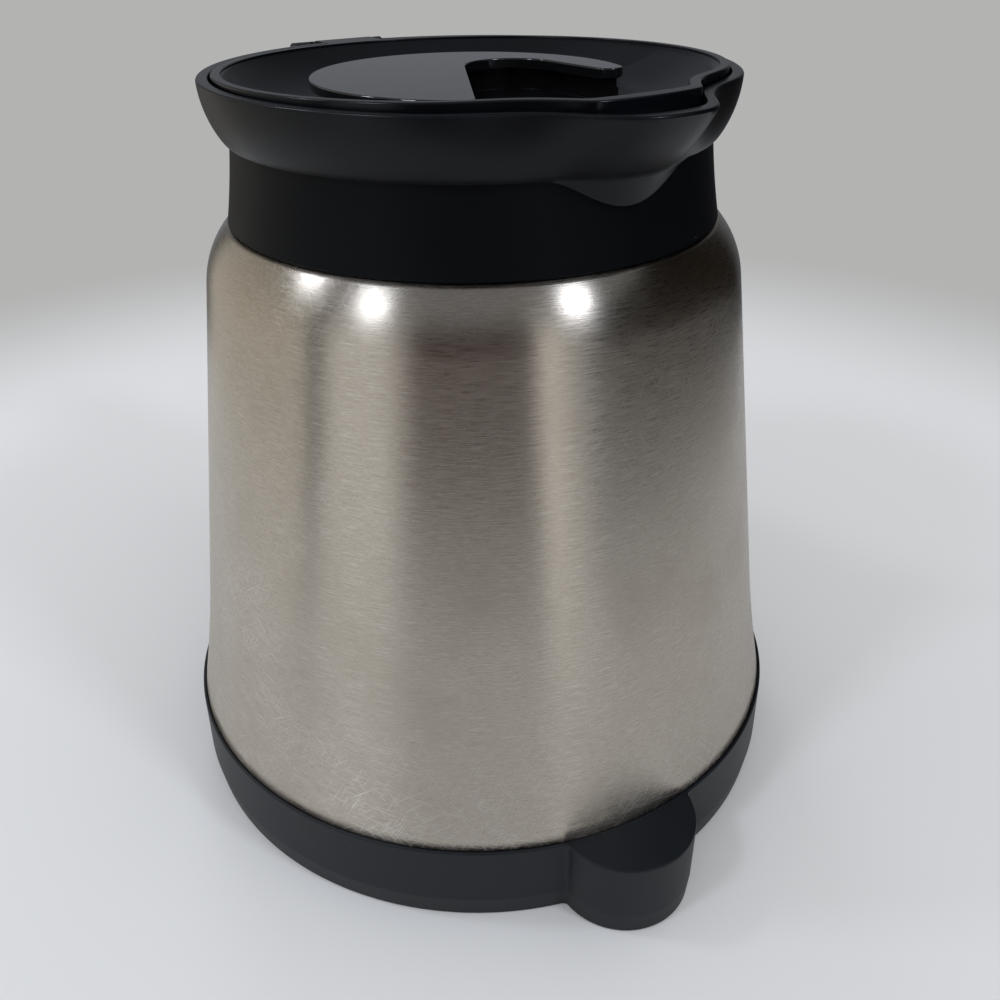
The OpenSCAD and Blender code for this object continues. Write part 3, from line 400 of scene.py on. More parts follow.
# %% Steel body
def steel_profile():
    """Outer line of the sheet from the bottom weld to the neck's top, then back down its inner side."""
    z = np.linspace(BASE_H, SHOULDER_Z, 40)
    cone = np.stack([steel_radius(z), z], -1)
    a = np.radians(CONE + TURN * np.linspace(0, 1, 17)[1:])
    c0 = math.radians(CONE)
    arc = np.stack([SHOULDER_R - BEND * (math.cos(c0) - np.cos(a)),
                    SHOULDER_Z + BEND * (np.sin(a) - math.sin(c0))], -1)
    outer = np.concatenate([cone, arc])
    normal = np.concatenate([np.tile([math.cos(c0), math.sin(c0)], (len(cone), 1)),
                            np.stack([np.cos(a), np.sin(a)], -1)])
    inner = (outer - SHEET * normal)[::-1]
    foot = [[66.9, 7.0], [68.1, 8.2], [68.1, 16.7]]
    neck = [[NECK_OUT, CROWN_Z], [NECK_OUT, MOUTH_Z], [NECK_IN, MOUTH_Z], [NECK_IN, CROWN_Z - SHEET]]
    back = [[67.5, 16.7], [67.5, 8.4], [66.5, 7.6], [66.5, 7.0]]
    return np.concatenate([foot, outer, neck, inner, back])


profile = steel_profile()
angles = np.linspace(-180, 180, 257)[:-1]
steel_body = surface("steel_body", turned(angles, np.tile(profile[:, 0], (256, 1)), profile[:, 1]))
run = np.concatenate([[0], np.cumsum(np.linalg.norm(np.diff(profile, axis=0), axis=1))])
run = np.append(run, run[-1] + np.linalg.norm(profile[0] - profile[-1]))


def brush_uv(obj, rings, along, run, radius):
    """UV in metres: u = angle times a mean radius, v = length along the section."""
    layer = obj.data.uv_layers.new(name="brush")
    i, j = np.meshgrid(np.arange(rings), np.arange(along), indexing="ij")
    u = np.stack([i, i + 1, i + 1, i], -1) / rings * 2 * math.pi * radius
    v = np.stack([run[j], run[j], run[j + 1], run[j + 1]], -1)
    layer.data.foreach_set("uv", np.stack([u, v], -1).reshape(-1).astype(np.float32) * MM)


brush_uv(steel_body, 256, len(profile), run, 62.0)
print("steel profile points", len(profile), "length mm", round(float(run[-1]), 1))


# %% [markdown]
# ## The collar
#
# A smooth moulded ring between the steel and the bowl. It is drawn as one turned section with a
# slightly rounded foot, which gives the thin light line where it sits on the steel.

# %% Collar
z = np.linspace(COLLAR_FOOT_Z, SEAM_Z, 24)
outside = np.stack([collar_radius(z), z], -1)
outside[0] += (-0.25, 0.0)
outside = np.insert(outside, 1, [COLLAR_FOOT - 0.03, COLLAR_FOOT_Z + 0.25], axis=0)
section = np.concatenate([[[44.4, COLLAR_FOOT_Z]], outside,
                          [[WAIST, COLLAR_TOP_Z], [45.1, COLLAR_TOP_Z], [45.1, MOUTH_Z + 0.6],
                           [44.4, MOUTH_Z + 0.6]]])
collar = surface("collar", turned(angles, np.tile(section[:, 0], (256, 1)), section[:, 1]))

# %% [markdown]
# ## The pour bowl
#
# One moulding: a belly that turns outwards to the rim, with a spout whose flanks are pinched. Its
# section is a function of the angle from the spout. The seams stand closer together near the spout,
# where the shape changes fastest. A notch at the back lets the lid's tongue through.

# %% Pour bowl
def close_seams(count=360):
    """Angles round the axis, closest at the spout: a = 180 (0.45 t + 0.55 t^3), t from -1 to 1."""
    t = np.linspace(-1, 1, count + 1)[:-1]
    return 180 * (0.45 * t + 0.55 * t ** 3)


seams = close_seams()
off = np.abs(seams)[:, None]


def bowl_section(s):
    """(r, z) of the bowl's closed section for angles s from the spout, one row per angle.

    Outside: r runs from the collar along sin(90 u^0.8) to the rim, u from the seam to the rim; the
    nose of the spout is added in proportion to height, and its belly hangs below the seam. Inside:
    r runs from the ledge to the rim by q^0.75. The rim's outer edge is rounded by 0.5 mm, its inner
    edge by 0.3 mm.
    """
    b = s / 19
    foot = np.where(b < 1, SEAM_Z - 5.2 * (1 - b ** 2) ** 2, SEAM_Z)
    t = np.linspace(0, 1, 22)[None, :]
    z = foot + t * (RIM_Z - 0.5 - foot)
    u = np.maximum(0, (z - SEAM_Z) / (RIM_Z - SEAM_Z))
    skirt = WAIST + WRAP
    round_r = np.where(z < SEAM_Z, collar_radius(z) + WRAP,
                       skirt + (RIM_R - skirt) * np.sin(math.pi / 2 * u ** 0.8))
    nose = rim_outline(s) - RIM_R
    r = round_r + nose * np.where(nose > 0, t, u)
    outer, inner = rim_outline(s), rim_inner(s)
    edge = np.linspace(0, math.pi / 2, 5)[None, 1:]
    lip_r = outer - 0.5 + 0.5 * np.cos(edge)
    lip_z = RIM_Z - 0.5 + 0.5 * np.sin(edge) + 0 * s
    q = np.linspace(1, 0, 9)[None, 1:]
    bore = LEDGE_R + (inner - LEDGE_R) * q ** 0.75
    bore_z = LEDGE_Z + q * (RIM_Z - LEDGE_Z) + 0 * s
    one = np.ones_like(s)
    top = [(inner + 0.3, RIM_Z * one), (inner + 0.09, (RIM_Z - 0.09) * one),
           (inner - 0.0, (RIM_Z - 0.3) * one)]
    low = [(THROAT_R * one, LEDGE_Z * one), (THROAT_R * one, (COLLAR_TOP_Z + 0.1) * one),
           ((WAIST + 0.1) * one, (COLLAR_TOP_Z + 0.1) * one)]
    start = SEAM_Z + 0.9
    under = [(collar_radius(start + (foot - start) * k) + 0.1, start + (foot - start) * k)
             for k in (1 / 3, 2 / 3, 1)]
    rr = np.concatenate([r, lip_r] + [p[0] for p in top] + [bore] + [p[0] for p in low + under], 1)
    zz = np.concatenate([z, lip_z] + [p[1] for p in top] + [bore_z] + [p[1] for p in low + under], 1)
    return rr, zz


bowl = surface("bowl", turned(seams, *bowl_section(off)))
NOTCH = BARREL_W / 2 + 0.4
carve(bowl, block("notch", (-55, -NOTCH, HINGE_Z - 1.0), (-42.7, NOTCH, RIM_Z + 1.3)))

# %% [markdown]
# ## The lid
#
# A shallow dish with a narrow rim that follows the bowl's and stops short of the spout. Its inside
# curves down to the well for the dial. The tongue at the back ends in the hinge's barrel with a
# small heel, which stops the lid when it is open.

# %% Lid
def soft_min(a, b, blend):
    """(a + b - sqrt((a - b)^2 + blend^2)) / 2: the smaller of two values, with a rounded change."""
    return (a + b - np.sqrt((a - b) ** 2 + blend ** 2)) / 2


def lid_section(s, angle):
    """(r, z) of the lid's closed section: skirt, rim, dish floor by u^2.2, and the well's wall."""
    r = soft_min(rim_inner(s) - 0.4, 52.4, 0.9)
    top = RIM_Z + LID_RISE * (r * np.cos(np.radians(angle)) + RIM_R) / (2 * RIM_R)
    inner = r - LID_RIM - 1.2 * np.exp(-(s / 16) ** 2)
    one = np.ones_like(s)
    e = np.linspace(0, math.pi / 2, 5)[None, :]
    outer_r, outer_z = r - 0.35 + 0.35 * np.cos(e), top - 0.35 + 0.35 * np.sin(e)
    lip_r, lip_z = inner + 0.2 - 0.2 * np.sin(e), top - 0.2 + 0.2 * np.cos(e)
    u = np.linspace(1, 0, 20)[None, :]
    dish_r, dish_z = WELL_R + (inner - WELL_R) * u, DISH_Z + (top - 0.5 - DISH_Z) * u ** 2.2
    skirt = [(THROAT_R - 0.4, DISH_Z - 1.3), (THROAT_R - 0.4, LEDGE_Z + 0.3), (SKIRT_R, LEDGE_Z + 0.3)]
    skirt = [(x * one, z * one) for x, z in skirt]
    skirt += [(r - 0.6, (RIM_Z - 1.9) * one), (r, (RIM_Z - 1.3) * one)]
    rr = np.concatenate([p[0] for p in skirt] + [outer_r, lip_r, dish_r, WELL_R * one], 1)
    zz = np.concatenate([p[1] for p in skirt] + [outer_z, lip_z, dish_z, (DISH_Z - 1.4) * one], 1)
    return rr, zz


def unit(degrees):
    """Unit vector at an angle in plan."""
    return np.array([math.cos(math.radians(degrees)), math.sin(math.radians(degrees))])


def circle(x, y, r, start=0, stop=360, steps=48):
    """Points of an arc: (x + r cos a, y + r sin a), without the last point of a full turn."""
    a = np.radians(np.linspace(start, stop, steps + 1))
    a = a[:-1] if stop - start == 360 else a
    return np.stack([x + r * np.cos(a), y + r * np.sin(a)], -1)


def prism(name, outline, low, high, along="z"):
    """A straight bar: its outline, counterclockwise, runs from low to high along Z, or along Y."""
    n, place = len(outline), 2 if along == "z" else 1
    points = np.concatenate([np.insert(outline, place, end, axis=1) for end in (low, high)])
    i = np.arange(n)
    sides = np.stack([i, (i + 1) % n, (i + 1) % n + n, i + n], -1).tolist()
    obj = mesh_object(name, points * MM, sides + [list(range(n))[::-1], list(range(n, 2 * n))])
    if along == "y":
        obj.data.flip_normals()
    return obj


lid = surface("lid", turned(seams, *lid_section(off, seams[:, None])))
TONGUE_IN, TONGUE_Z = RIM_FLAT + LID_RIM - RIM_R, RIM_Z - 0.05
tongue = np.array([(HINGE_X, HINGE_Z + 0.3), (TONGUE_IN, HINGE_Z + 0.3), (TONGUE_IN, TONGUE_Z),
                   (-54.6, TONGUE_Z), (-55.0, HINGE_Z + BARREL_R), (HINGE_X, HINGE_Z + BARREL_R)])
HEEL_WAY, HEEL_REACH, HEEL_R = 140, 2.607, 0.8
way, root = unit(HEEL_WAY), np.array([HINGE_X, HINGE_Z])
side, tip = HEEL_R * np.array([-way[1], way[0]]), root + HEEL_REACH * way
heel = np.concatenate([[root - side], circle(*tip, HEEL_R, HEEL_WAY - 90, HEEL_WAY + 90, 12),
                       [root + side]])
for name, outline in (("tongue", tongue), ("heel", heel),
                      ("barrel", circle(HINGE_X, HINGE_Z, BARREL_R))):
    carve(lid, prism(name, outline, -BARREL_W / 2, BARREL_W / 2, "y"), "UNION")
carve(lid, prism("bore", circle(HINGE_X, HINGE_Z, PIN_R + 0.06), -9, 9, "y"))
for name, obj in (("collar", collar), ("bowl", bowl), ("lid", lid)):
    smooth(obj)
smooth(steel_body, 50)

# %% [markdown]
# ## The gloss dial
#
# A flat disc with a fine round upper edge, a larger round lower edge and a wedge-shaped recess for a
# finger. Its plan is one closed line of arcs and straight walls, moved inwards by a distance that
# depends on the height. The tail beside the recess has a round corner. The name that the
# photographed disc carries is left off, so its face is plain.

# %% Dial plate
def corner_centre(start, way, normal, r):
    """Centre of a round corner of radius r between a wall and the disc's rim.

    It lies r off the wall, along its normal, and r inside the disc: |start + t way + r normal| = R - r.
    """
    p = start + r * normal
    b, c = p @ way, p @ p - (DIAL_R - r) ** 2
    return p + (-b + math.sqrt(b * b - c)) * way


def plate_outline():
    """Points of the plan, their inward normals, and how round the edge is there in millimetres."""
    mid, (to_left, to_right) = np.array(RECESS_MID), RECESS_WAYS
    left_n, right_n = unit(to_left), unit(to_right)
    left = corner_centre(mid + RECESS_R * left_n, unit(to_left - 90), left_n, TAIL_R)
    right = corner_centre(mid + RECESS_R * right_n, unit(to_right - 270), right_n, HORN_R)
    a1 = math.degrees(math.atan2(left[1], left[0]))
    a2 = math.degrees(math.atan2(right[1], right[0])) + 360
    parts = []
    for centre, r, start, stop, steps, inside in (
            ((0, 0), DIAL_R, a1, a2, 150, True), (right, HORN_R, a2, to_right + 180, 10, True),
            (mid, RECESS_R, to_right, to_left, 48, False),
            (left, TAIL_R, to_left - 180, a1, 12, True)):
        a = np.radians(np.linspace(start, stop, steps + 1))
        way = np.stack([np.cos(a), np.sin(a)], -1)
        parts.append((np.asarray(centre) + r * way, -way if inside else way,
                      np.full(len(a), DIAL_UNDER if r == DIAL_R else 0.0 if inside else 0.3)))
    points, normals, edge = (np.concatenate([p[n] for p in parts]) for n in range(3))
    spot = np.where(edge > 0)[0]
    edge = np.interp(np.arange(len(edge)), spot, edge[spot], period=len(edge))
    return points, normals, edge


points, normals, edge = plate_outline()
q = np.radians(np.linspace(0, 90, 7))[None, :]
low, high = edge[:, None], np.full((len(edge), 1), DIAL_EDGE)
inset = np.concatenate([low * (1 - np.sin(q)), high * (1 - np.cos(q))], 1)
height = np.concatenate([DIAL_Z - DIAL_T + low * (1 - np.cos(q)), DIAL_Z - high * (1 - np.sin(q))], 1)
grid = np.concatenate([points[:, None] + normals[:, None] * inset[..., None], height[..., None]], -1)
dial = surface("gloss_dial", grid, closed_section=False)
close_up(dial.data)
smooth(dial, 50)

# %% [markdown]
# ## The handle
#
# A D-shaped bar of the same black plastic, a rounded rectangle carried along a bent middle line. The
# photograph hides it behind the body, so its form is the plain one that such a carafe has.

# %% Handle
ARM_X, ARM_TOP_Z, ARM_LOW_Z, TOP_BEND, LOW_BEND, SADDLE_R = -80, 139.7, 11.2, 24, 26, 71.4
BAR_HALF_WIDE, BAR_HALF_DEEP, BAR_DEEPER = 11.5, 7.9, 0.6


def handle_line():
    """Middle line in the XZ plane and its direction of travel: arm, arc, grip, arc, arm."""
    high, low = ARM_TOP_Z - TOP_BEND, ARM_LOW_Z + LOW_BEND
    top_arm = np.stack([np.linspace(-68.1, ARM_X + 1, 4), np.full(4, ARM_TOP_Z), np.full(4, 180.0)], -1)
    a = np.linspace(90, 180, 25)
    top = np.stack([ARM_X + TOP_BEND * np.cos(np.radians(a)), high + TOP_BEND * np.sin(np.radians(a)),
                    a + 90], -1)
    t = np.linspace(0, 1, 28)[1:-1]
    x = ARM_X - TOP_BEND - (LOW_BEND - TOP_BEND) * (3 * t ** 2 - 2 * t ** 3) \
        - 0.45 * np.sin(math.pi * t) ** 2
    grip = np.stack([x, high - (high - low) * t, 270 + 0 * t], -1)
    a = np.linspace(180, 270, 25)
    foot = np.stack([ARM_X + LOW_BEND * np.cos(np.radians(a)), low + LOW_BEND * np.sin(np.radians(a)),
                     a + 90], -1)
    low_arm = np.stack([np.linspace(ARM_X + 1, -SADDLE_R, 4), np.full(4, ARM_LOW_Z), np.full(4, 360.0)],
                       -1)
    return np.concatenate([top_arm, top, grip, foot, low_arm])


line = handle_line()
k = np.radians(np.arange(56) * 360 / 56)
soft = lambda v: np.sign(v) * np.abs(v) ** 0.7
rise = np.clip((line[:, 1] - 37) / 25, 0, 1)
half = BAR_HALF_DEEP + BAR_DEEPER * (3 * rise ** 2 - 2 * rise ** 3)
wide, deep = BAR_HALF_WIDE * soft(np.cos(k))[None, :], half[:, None] * soft(np.sin(k))[None, :]
d = np.radians(line[:, 2])[:, None]
grid = np.stack([line[:, :1] + deep * np.sin(d), np.broadcast_to(wide, deep.shape),
                 line[:, 1:2] - deep * np.cos(d)], -1)
grid[-1, :, 0] = -np.sqrt(SADDLE_R ** 2 - grid[-1, :, 1] ** 2)
n, m = grid.shape[:2]
i, j = np.meshgrid(np.arange(n - 1), np.arange(m), indexing="ij")
faces = np.stack([i * m + j, i * m + (j + 1) % m, (i + 1) * m + (j + 1) % m, (i + 1) * m + j], -1)
ends = [list(range(m))[::-1], list(range((n - 1) * m, n * m))]
handle = mesh_object("handle", grid.reshape(-1, 3) * MM, faces.reshape(-1, 4).tolist() + ends)
close_up(handle.data)
smooth(handle)

# %% [markdown]
# ## The base ring
#
# A matte moulding with a half-round lug at the front, which locates the carafe in its machine. Seen
# from above its outline is two arcs joined by small hollow curves. That outline is worked out for
# every height of the section, with the radii that the height has.

# %% Base ring
LUG_AWAY, LUG_TURN, HOLLOW = 67.6, -7, 1.4
TAB_X, TAB_HALF, SCREW_AWAY = -78, 10, 60.9


def base_outline(ring_r, lug_r, hollow):
    """Outline of ring and lug joined by hollow curves, one row of points per pair of radii.

    The hollow's centre lies ring_r + hollow from the axis and lug_r + hollow from the lug's centre:
    cos b = ((R + h)^2 + c^2 - (r + h)^2) / (2 c (R + h)), b being its angle from the lug.
    """
    R, r, h = (np.asarray(v, float)[:, None] for v in (ring_r, lug_r, hollow))
    c = LUG_AWAY
    b = np.arccos(((R + h) ** 2 + c ** 2 - (r + h) ** 2) / (2 * c * (R + h)))
    g = np.arctan2((R + h) * np.sin(b), (R + h) * np.cos(b) - c)
    t = lambda steps: np.linspace(0, 1, steps + 1)[None, :]
    big = b + t(230)[:, 1:-1] * (2 * math.pi - 2 * b)
    curve = math.pi + b + t(8) * (g - b)
    small = g - t(48)[:, 1:-1] * 2 * g
    fx, fy = (R + h) * np.cos(b), (R + h) * np.sin(b)
    x = np.concatenate([c + r * np.cos(small[:, ::-1]), (fx + h * np.cos(curve))[:, ::-1],
                        R * np.cos(big), fx + h * np.cos(curve)], 1)
    y = np.concatenate([r * np.sin(small[:, ::-1]), (fy + h * np.sin(curve))[:, ::-1],
                        R * np.sin(big), -(fy + h * np.sin(curve))], 1)
    turn = math.radians(LUG_TURN)
    return np.stack([x * math.cos(turn) - y * math.sin(turn), x * math.sin(turn) + y * math.cos(turn)], -1)


# Rows of ring radius, lug radius and height, from the underside to the top edge
levels = np.array([(70.4, 14.48, 0.4), (70.45, 14.53, 0.6), (71.05, 14.87, 5.0), (71.1, 14.9, 5.4),
                   (71.1, 14.9, 5.8), (70.95, 14.9, 12.0), (70.81, 14.9, 18.8), (70.77, 14.86, 19.05),
                   (70.64, 14.76, 19.23), (70.45, 14.62, 19.3)])
outer = base_outline(levels[:, 0], levels[:, 1], np.full(len(levels), HOLLOW))
outer = np.concatenate([outer, np.broadcast_to(levels[:, None, 2:], (*outer.shape[:2], 1))], -1)
ways = np.arctan2(outer[-1, :, 1], outer[-1, :, 0])
inner = np.array([(70.2, 19.3), (70.2, 19.2), (68.3, 16.5), (68.3, 5.4), (58.3, 5.4), (58.3, 0.4),
                  (63.8, 0.4), (63.8, 2.7), (68.0, 2.7), (68.0, 0.4)])
inner = np.stack([inner[:, :1] * np.cos(ways), inner[:, :1] * np.sin(ways),
                  np.broadcast_to(inner[:, 1:], (len(inner), len(ways)))], -1)
grid = np.concatenate([outer, inner]).transpose(1, 0, 2)
base = surface("base", grid)
tab = np.concatenate([[(-66, -TAB_HALF)], circle(TAB_X, 0, TAB_HALF, 90, 270, 30)[::-1],
                      [(-66, TAB_HALF)]])
carve(base, prism("tab", tab[::-1], 1.0, 3.2), "UNION")
for turn in (60, 180, 300):
    x, y = SCREW_AWAY * unit(turn)
    carve(base, prism("shank_hole", circle(x, y, 1.4), -1, 7))
    carve(base, prism("head_hole", circle(x, y, 2.5), -1, 2.2))
carve(base, prism("tab_hole", circle(TAB_X - 1, 0, 1.65), -1, 5))
carve(base, prism("tab_head", circle(TAB_X - 1, 0, 3.3), -1, 2.1))
smooth(base)

# %% [markdown]
# ## Pieces that keep their CAD form
#
# Flat and turned pieces inside and behind are right as they come. The ones that can be seen get a
# copy with its doubled points merged, its edges slightly broken by a Bevel modifier, as moulds and
# presses leave them, and smooth shading.

# %% Dressed copies of CAD nodes
def dressed(node, body, slot, material, edge=0.25, segments=2):
    """A merged copy of a CAD node with small round edges, which stands for the node."""
    shape = bmesh.new()
    shape.from_mesh(NODES[node].data)
    bmesh.ops.remove_doubles(shape, verts=shape.verts, dist=2e-6)
    bmesh.ops.dissolve_limit(shape, angle_limit=math.radians(0.8), verts=shape.verts, edges=shape.edges)
    mesh = bpy.data.meshes.new(node + "_dressed")
    shape.to_mesh(mesh)
    shape.free()
    obj = bpy.data.objects.new(node + "_dressed", mesh)
    bpy.context.scene.collection.objects.link(obj)
    if edge:
        bevel = obj.modifiers.new("edge", "BEVEL")
        bevel.width, bevel.segments, bevel.limit_method = edge * MM, segments, "ANGLE"
        bevel.angle_limit = math.radians(40)
    smooth(obj, 32)
    return finish_piece(obj, body, slot, material, node)


# %% [markdown]
# ## Finishes
#
# Each finish starts from what the real surface is and how it was made. Patterns are worked out in
# real millimetres: a noise of scale 1 repeats about once a metre, so a scale of 1000 / w gives
# features w millimetres wide.

# %% Pattern helpers
def features(tree, where, size, detail=2.0, rough=0.5, **settings):
    """Noise whose features are size millimetres wide: scale = 1000 / size."""
    return add(tree, "TexNoise", {"Vector": where, "Scale": 1000 / size, "Detail": detail,
                                  "Roughness": rough}, **settings).outputs["Fac"]


def stretched(tree, where, length, width, turn=0.0):
    """A vector for streaks of that length and width in millimetres, turned in plan by an angle."""
    spun = add(tree, "Mapping", {"Vector": where, "Rotation": (0, 0, math.radians(turn))})
    return add(tree, "Mapping", {"Vector": spun.outputs[0],
                                 "Scale": (1000 / length, 1000 / width, 1.0)}).outputs[0]


def span(tree, value, low, high, to_low=0.0, to_high=1.0):
    """Maps low..high to to_low..to_high and stops at both ends."""
    return add(tree, "MapRange", {"Value": value, "From Min": low, "From Max": high,
                                  "To Min": to_low, "To Max": to_high}).outputs[0]


def blended(tree, factor, first, second):
    """Colour between two colours by a factor."""
    return add(tree, "Mix", {0: factor, 6: first, 7: second}, data_type="RGBA").outputs[2]


def calc(tree, operation, a, b):
    """One Math node."""
    return add(tree, "Math", {0: a, 1: b}, operation=operation).outputs[0]


# %% [markdown]
# ### Brushed stainless steel
#
# 18/8 stainless sheet, brushed by a fine belt while the body turned. It gives the eye level hair
# lines, 6 mm long and a fifth of a millimetre wide, highlights drawn out tall across them, and a
# warm grey. Years of use left fine slanting scuffs in patches, most of them low down. The tangent
# comes from the UV map, so the stretched highlight follows the lines on the shoulder as well.

# %% Brushed steel
def brushed_steel():
    """Metal with level hair lines, a finer grain, smudges and slanting scuffs."""
    material, tree, shader = new_material("brushed_stainless_steel", Metallic=1.0, Anisotropic=0.88,
                                          Anisotropic_Rotation=0.25)
    uv = add(tree, "UVMap", uv_map="brush").outputs[0]
    obj = add(tree, "TexCoord").outputs["Object"]
    hair = add(tree, "TexNoise", {"Vector": stretched(tree, uv, 6, 0.22), "Scale": 1.0, "Detail": 2.0,
                                  "Roughness": 0.6}, noise_dimensions="2D").outputs["Fac"]
    grain = add(tree, "TexNoise", {"Vector": stretched(tree, uv, 1.6, 0.18), "Scale": 1.0, "Detail": 1.0},
                noise_dimensions="2D").outputs["Fac"]
    smudge = features(tree, obj, 26, 4.0, 0.6)
    low = span(tree, add(tree, "SeparateXYZ", {0: obj}).outputs["Z"], 0.04, 0.085, 1.0, 0.35)
    patch = calc(tree, "MULTIPLY", span(tree, features(tree, obj, 40, 2.0), 0.48, 0.68), low)
    scuffs = None
    for turn, length in ((52, 12), (-38, 9), (14, 18), (-66, 7)):
        line = add(tree, "TexNoise", {"Vector": stretched(tree, uv, length, 0.3, turn), "Scale": 1.0,
                                      "Detail": 1.0}, noise_dimensions="2D").outputs["Fac"]
        line = span(tree, line, 0.66, 0.74)
        scuffs = line if scuffs is None else calc(tree, "MAXIMUM", scuffs, line)
    scuffs = calc(tree, "MULTIPLY", scuffs, patch)
    colour = blended(tree, span(tree, hair, 0.3, 0.7), rgb("#bfb6aa"), rgb("#d1c9bd"))
    colour = blended(tree, span(tree, hair, 0.6, 0.7, 0.0, 0.2), colour, rgb("#f4eee5"))
    colour = blended(tree, span(tree, grain, 0.3, 0.7, 0.0, 0.4), colour, rgb("#a9a094"))
    colour = blended(tree, span(tree, smudge, 0.5, 0.75, 0.0, 0.35), colour, rgb("#b3a99b"))
    colour = blended(tree, calc(tree, "MULTIPLY", scuffs, 0.75), colour, rgb("#ebe7df"))
    tree.links.new(colour, shader.inputs["Base Color"])
    rough = calc(tree, "ADD", span(tree, hair, 0.32, 0.68, 0.24, 0.29),
                 span(tree, smudge, 0.3, 0.8, 0, 0.05))
    rough = calc(tree, "ADD", rough, calc(tree, "MULTIPLY", scuffs, 0.12))
    tree.links.new(rough, shader.inputs["Roughness"])
    relief = add(tree, "Bump", {"Height": calc(tree, "ADD", hair, calc(tree, "MULTIPLY", scuffs, 0.5)),
                                "Strength": 0.5, "Distance": 0.00003})
    tree.links.new(relief.outputs[0], shader.inputs["Normal"])
    tangent = add(tree, "Tangent", direction_type="UV_MAP", uv_map="brush")
    tree.links.new(tangent.outputs[0], shader.inputs["Tangent"])
    return material


def plain_metal(name, light, dark, rough, grain, stretch=1.0):
    """Bare metal as rolled, turned or brazed: fine grain of a given size, slightly uneven gloss."""
    material, tree, shader = new_material(name, Metallic=1.0)
    obj = add(tree, "TexCoord").outputs["Object"]
    drawn = add(tree, "Mapping", {"Vector": obj, "Scale": (1.0, 1.0, stretch)}).outputs[0]
    fine = features(tree, drawn, grain, 3.0)
    wide = features(tree, obj, 12, 3.0)
    colour = blended(tree, span(tree, fine, 0.3, 0.7), rgb(dark), rgb(light))
    colour = blended(tree, span(tree, wide, 0.45, 0.75, 0.0, 0.4), colour, rgb(dark))
    tree.links.new(colour, shader.inputs["Base Color"])
    rough = calc(tree, "ADD", span(tree, fine, 0.3, 0.7, rough, rough + 0.1),
                 span(tree, wide, 0.3, 0.8, 0, 0.08))
    tree.links.new(rough, shader.inputs["Roughness"])
    relief = add(tree, "Bump", {"Height": fine, "Strength": 0.3, "Distance": 0.00003})
    tree.links.new(relief.outputs[0], shader.inputs["Normal"])
    return material


# %% [markdown]
# ### Moulded black plastics
#
# Glass-filled polypropylene and ABS from textured moulds. The texture is a spark-eroded grain of
# about a third of a millimetre, which gives a soft sheen without sharp reflections. Handling leaves
# parts of it slightly polished or greasy. Specks of lint and dust lie on it, as in the photo.

# %% Moulded plastics
def moulded(name, colour, worn, rough, grain=0.35, relief=0.25, dust=0.5, spread=0.08, wiped=None,
            **values):
    """A moulded plastic: grain as relief, smudges in gloss and tone, specks of dust.

    The grain is a noise of grain millimetres. Specks are the middles of cells 5 mm apart, 0.12 mm
    in radius, kept in a share of 0.3 times dust of the cells. Above the height wiped, in
    millimetres, cloths have rubbed a rim smoother.
    """
    material, tree, shader = new_material(name, **values)
    obj = add(tree, "TexCoord").outputs["Object"]
    fine = features(tree, obj, grain, 2.0, 0.55)
    smudge = features(tree, obj, 24, 4.0, 0.6)
    tone = blended(tree, span(tree, smudge, 0.42, 0.75), rgb(colour), rgb(worn))
    cells = add(tree, "TexVoronoi", {"Vector": obj, "Scale": 1000 / 5.0})
    near = span(tree, cells.outputs["Distance"], 0.018, 0.032, 1.0, 0.0)
    pick = span(tree, add(tree, "SeparateColor", {0: cells.outputs["Color"]}).outputs[0],
                1 - dust * 0.3, 1 - dust * 0.3 + 0.02)
    speck = calc(tree, "MULTIPLY", near, pick)
    tone = blended(tree, calc(tree, "MULTIPLY", speck, 0.55), tone, rgb("#9a9893"))
    tree.links.new(tone, shader.inputs["Base Color"])
    gloss = calc(tree, "ADD", span(tree, smudge, 0.3, 0.75, rough - spread / 2, rough + spread / 2),
                 span(tree, fine, 0.3, 0.7, -0.02, 0.02))
    gloss = calc(tree, "ADD", gloss, calc(tree, "MULTIPLY", speck, 0.3))
    if wiped:
        height = add(tree, "SeparateXYZ", {0: obj}).outputs["Z"]
        rubbed = span(tree, height, (wiped - 0.4) * MM, wiped * MM, 1.0, 0.5)
        gloss = calc(tree, "MULTIPLY", gloss, rubbed)
    tree.links.new(gloss, shader.inputs["Roughness"])
    bump = add(tree, "Bump", {"Height": fine, "Strength": relief, "Distance": 0.00003})
    tree.links.new(bump.outputs[0], shader.inputs["Normal"])
    return material


def gloss_black():
    """Polished ABS: dead smooth, with hairline wiping marks 0.1 mm wide and a little dust."""
    material, tree, shader = new_material("polished_black_abs", Coat_Weight=0.6, Coat_Roughness=0.04,
                                          Coat_IOR=1.5)
    obj = add(tree, "TexCoord").outputs["Object"]
    wipes = None
    for turn in (18, -47, 80):
        line = features(tree, stretched(tree, obj, 22, 0.12, turn), 1000, 0.0)
        line = span(tree, line, 0.70, 0.78)
        wipes = line if wipes is None else calc(tree, "MAXIMUM", wipes, line)
    film = features(tree, obj, 18, 4.0, 0.6)
    cells = add(tree, "TexVoronoi", {"Vector": obj, "Scale": 1000 / 6.0})
    speck = calc(tree, "MULTIPLY", span(tree, cells.outputs["Distance"], 0.012, 0.024, 1.0, 0.0),
                 span(tree, add(tree, "SeparateColor", {0: cells.outputs["Color"]}).outputs[0], 0.8, 0.82))
    tone = blended(tree, calc(tree, "MULTIPLY", speck, 0.5), rgb("#0e0f11"), rgb("#8f8d88"))
    tree.links.new(tone, shader.inputs["Base Color"])
    rough = calc(tree, "ADD", span(tree, film, 0.4, 0.75, 0.07, 0.13), calc(tree, "MULTIPLY", wipes, 0.1))
    tree.links.new(rough, shader.inputs["Roughness"])
    return material


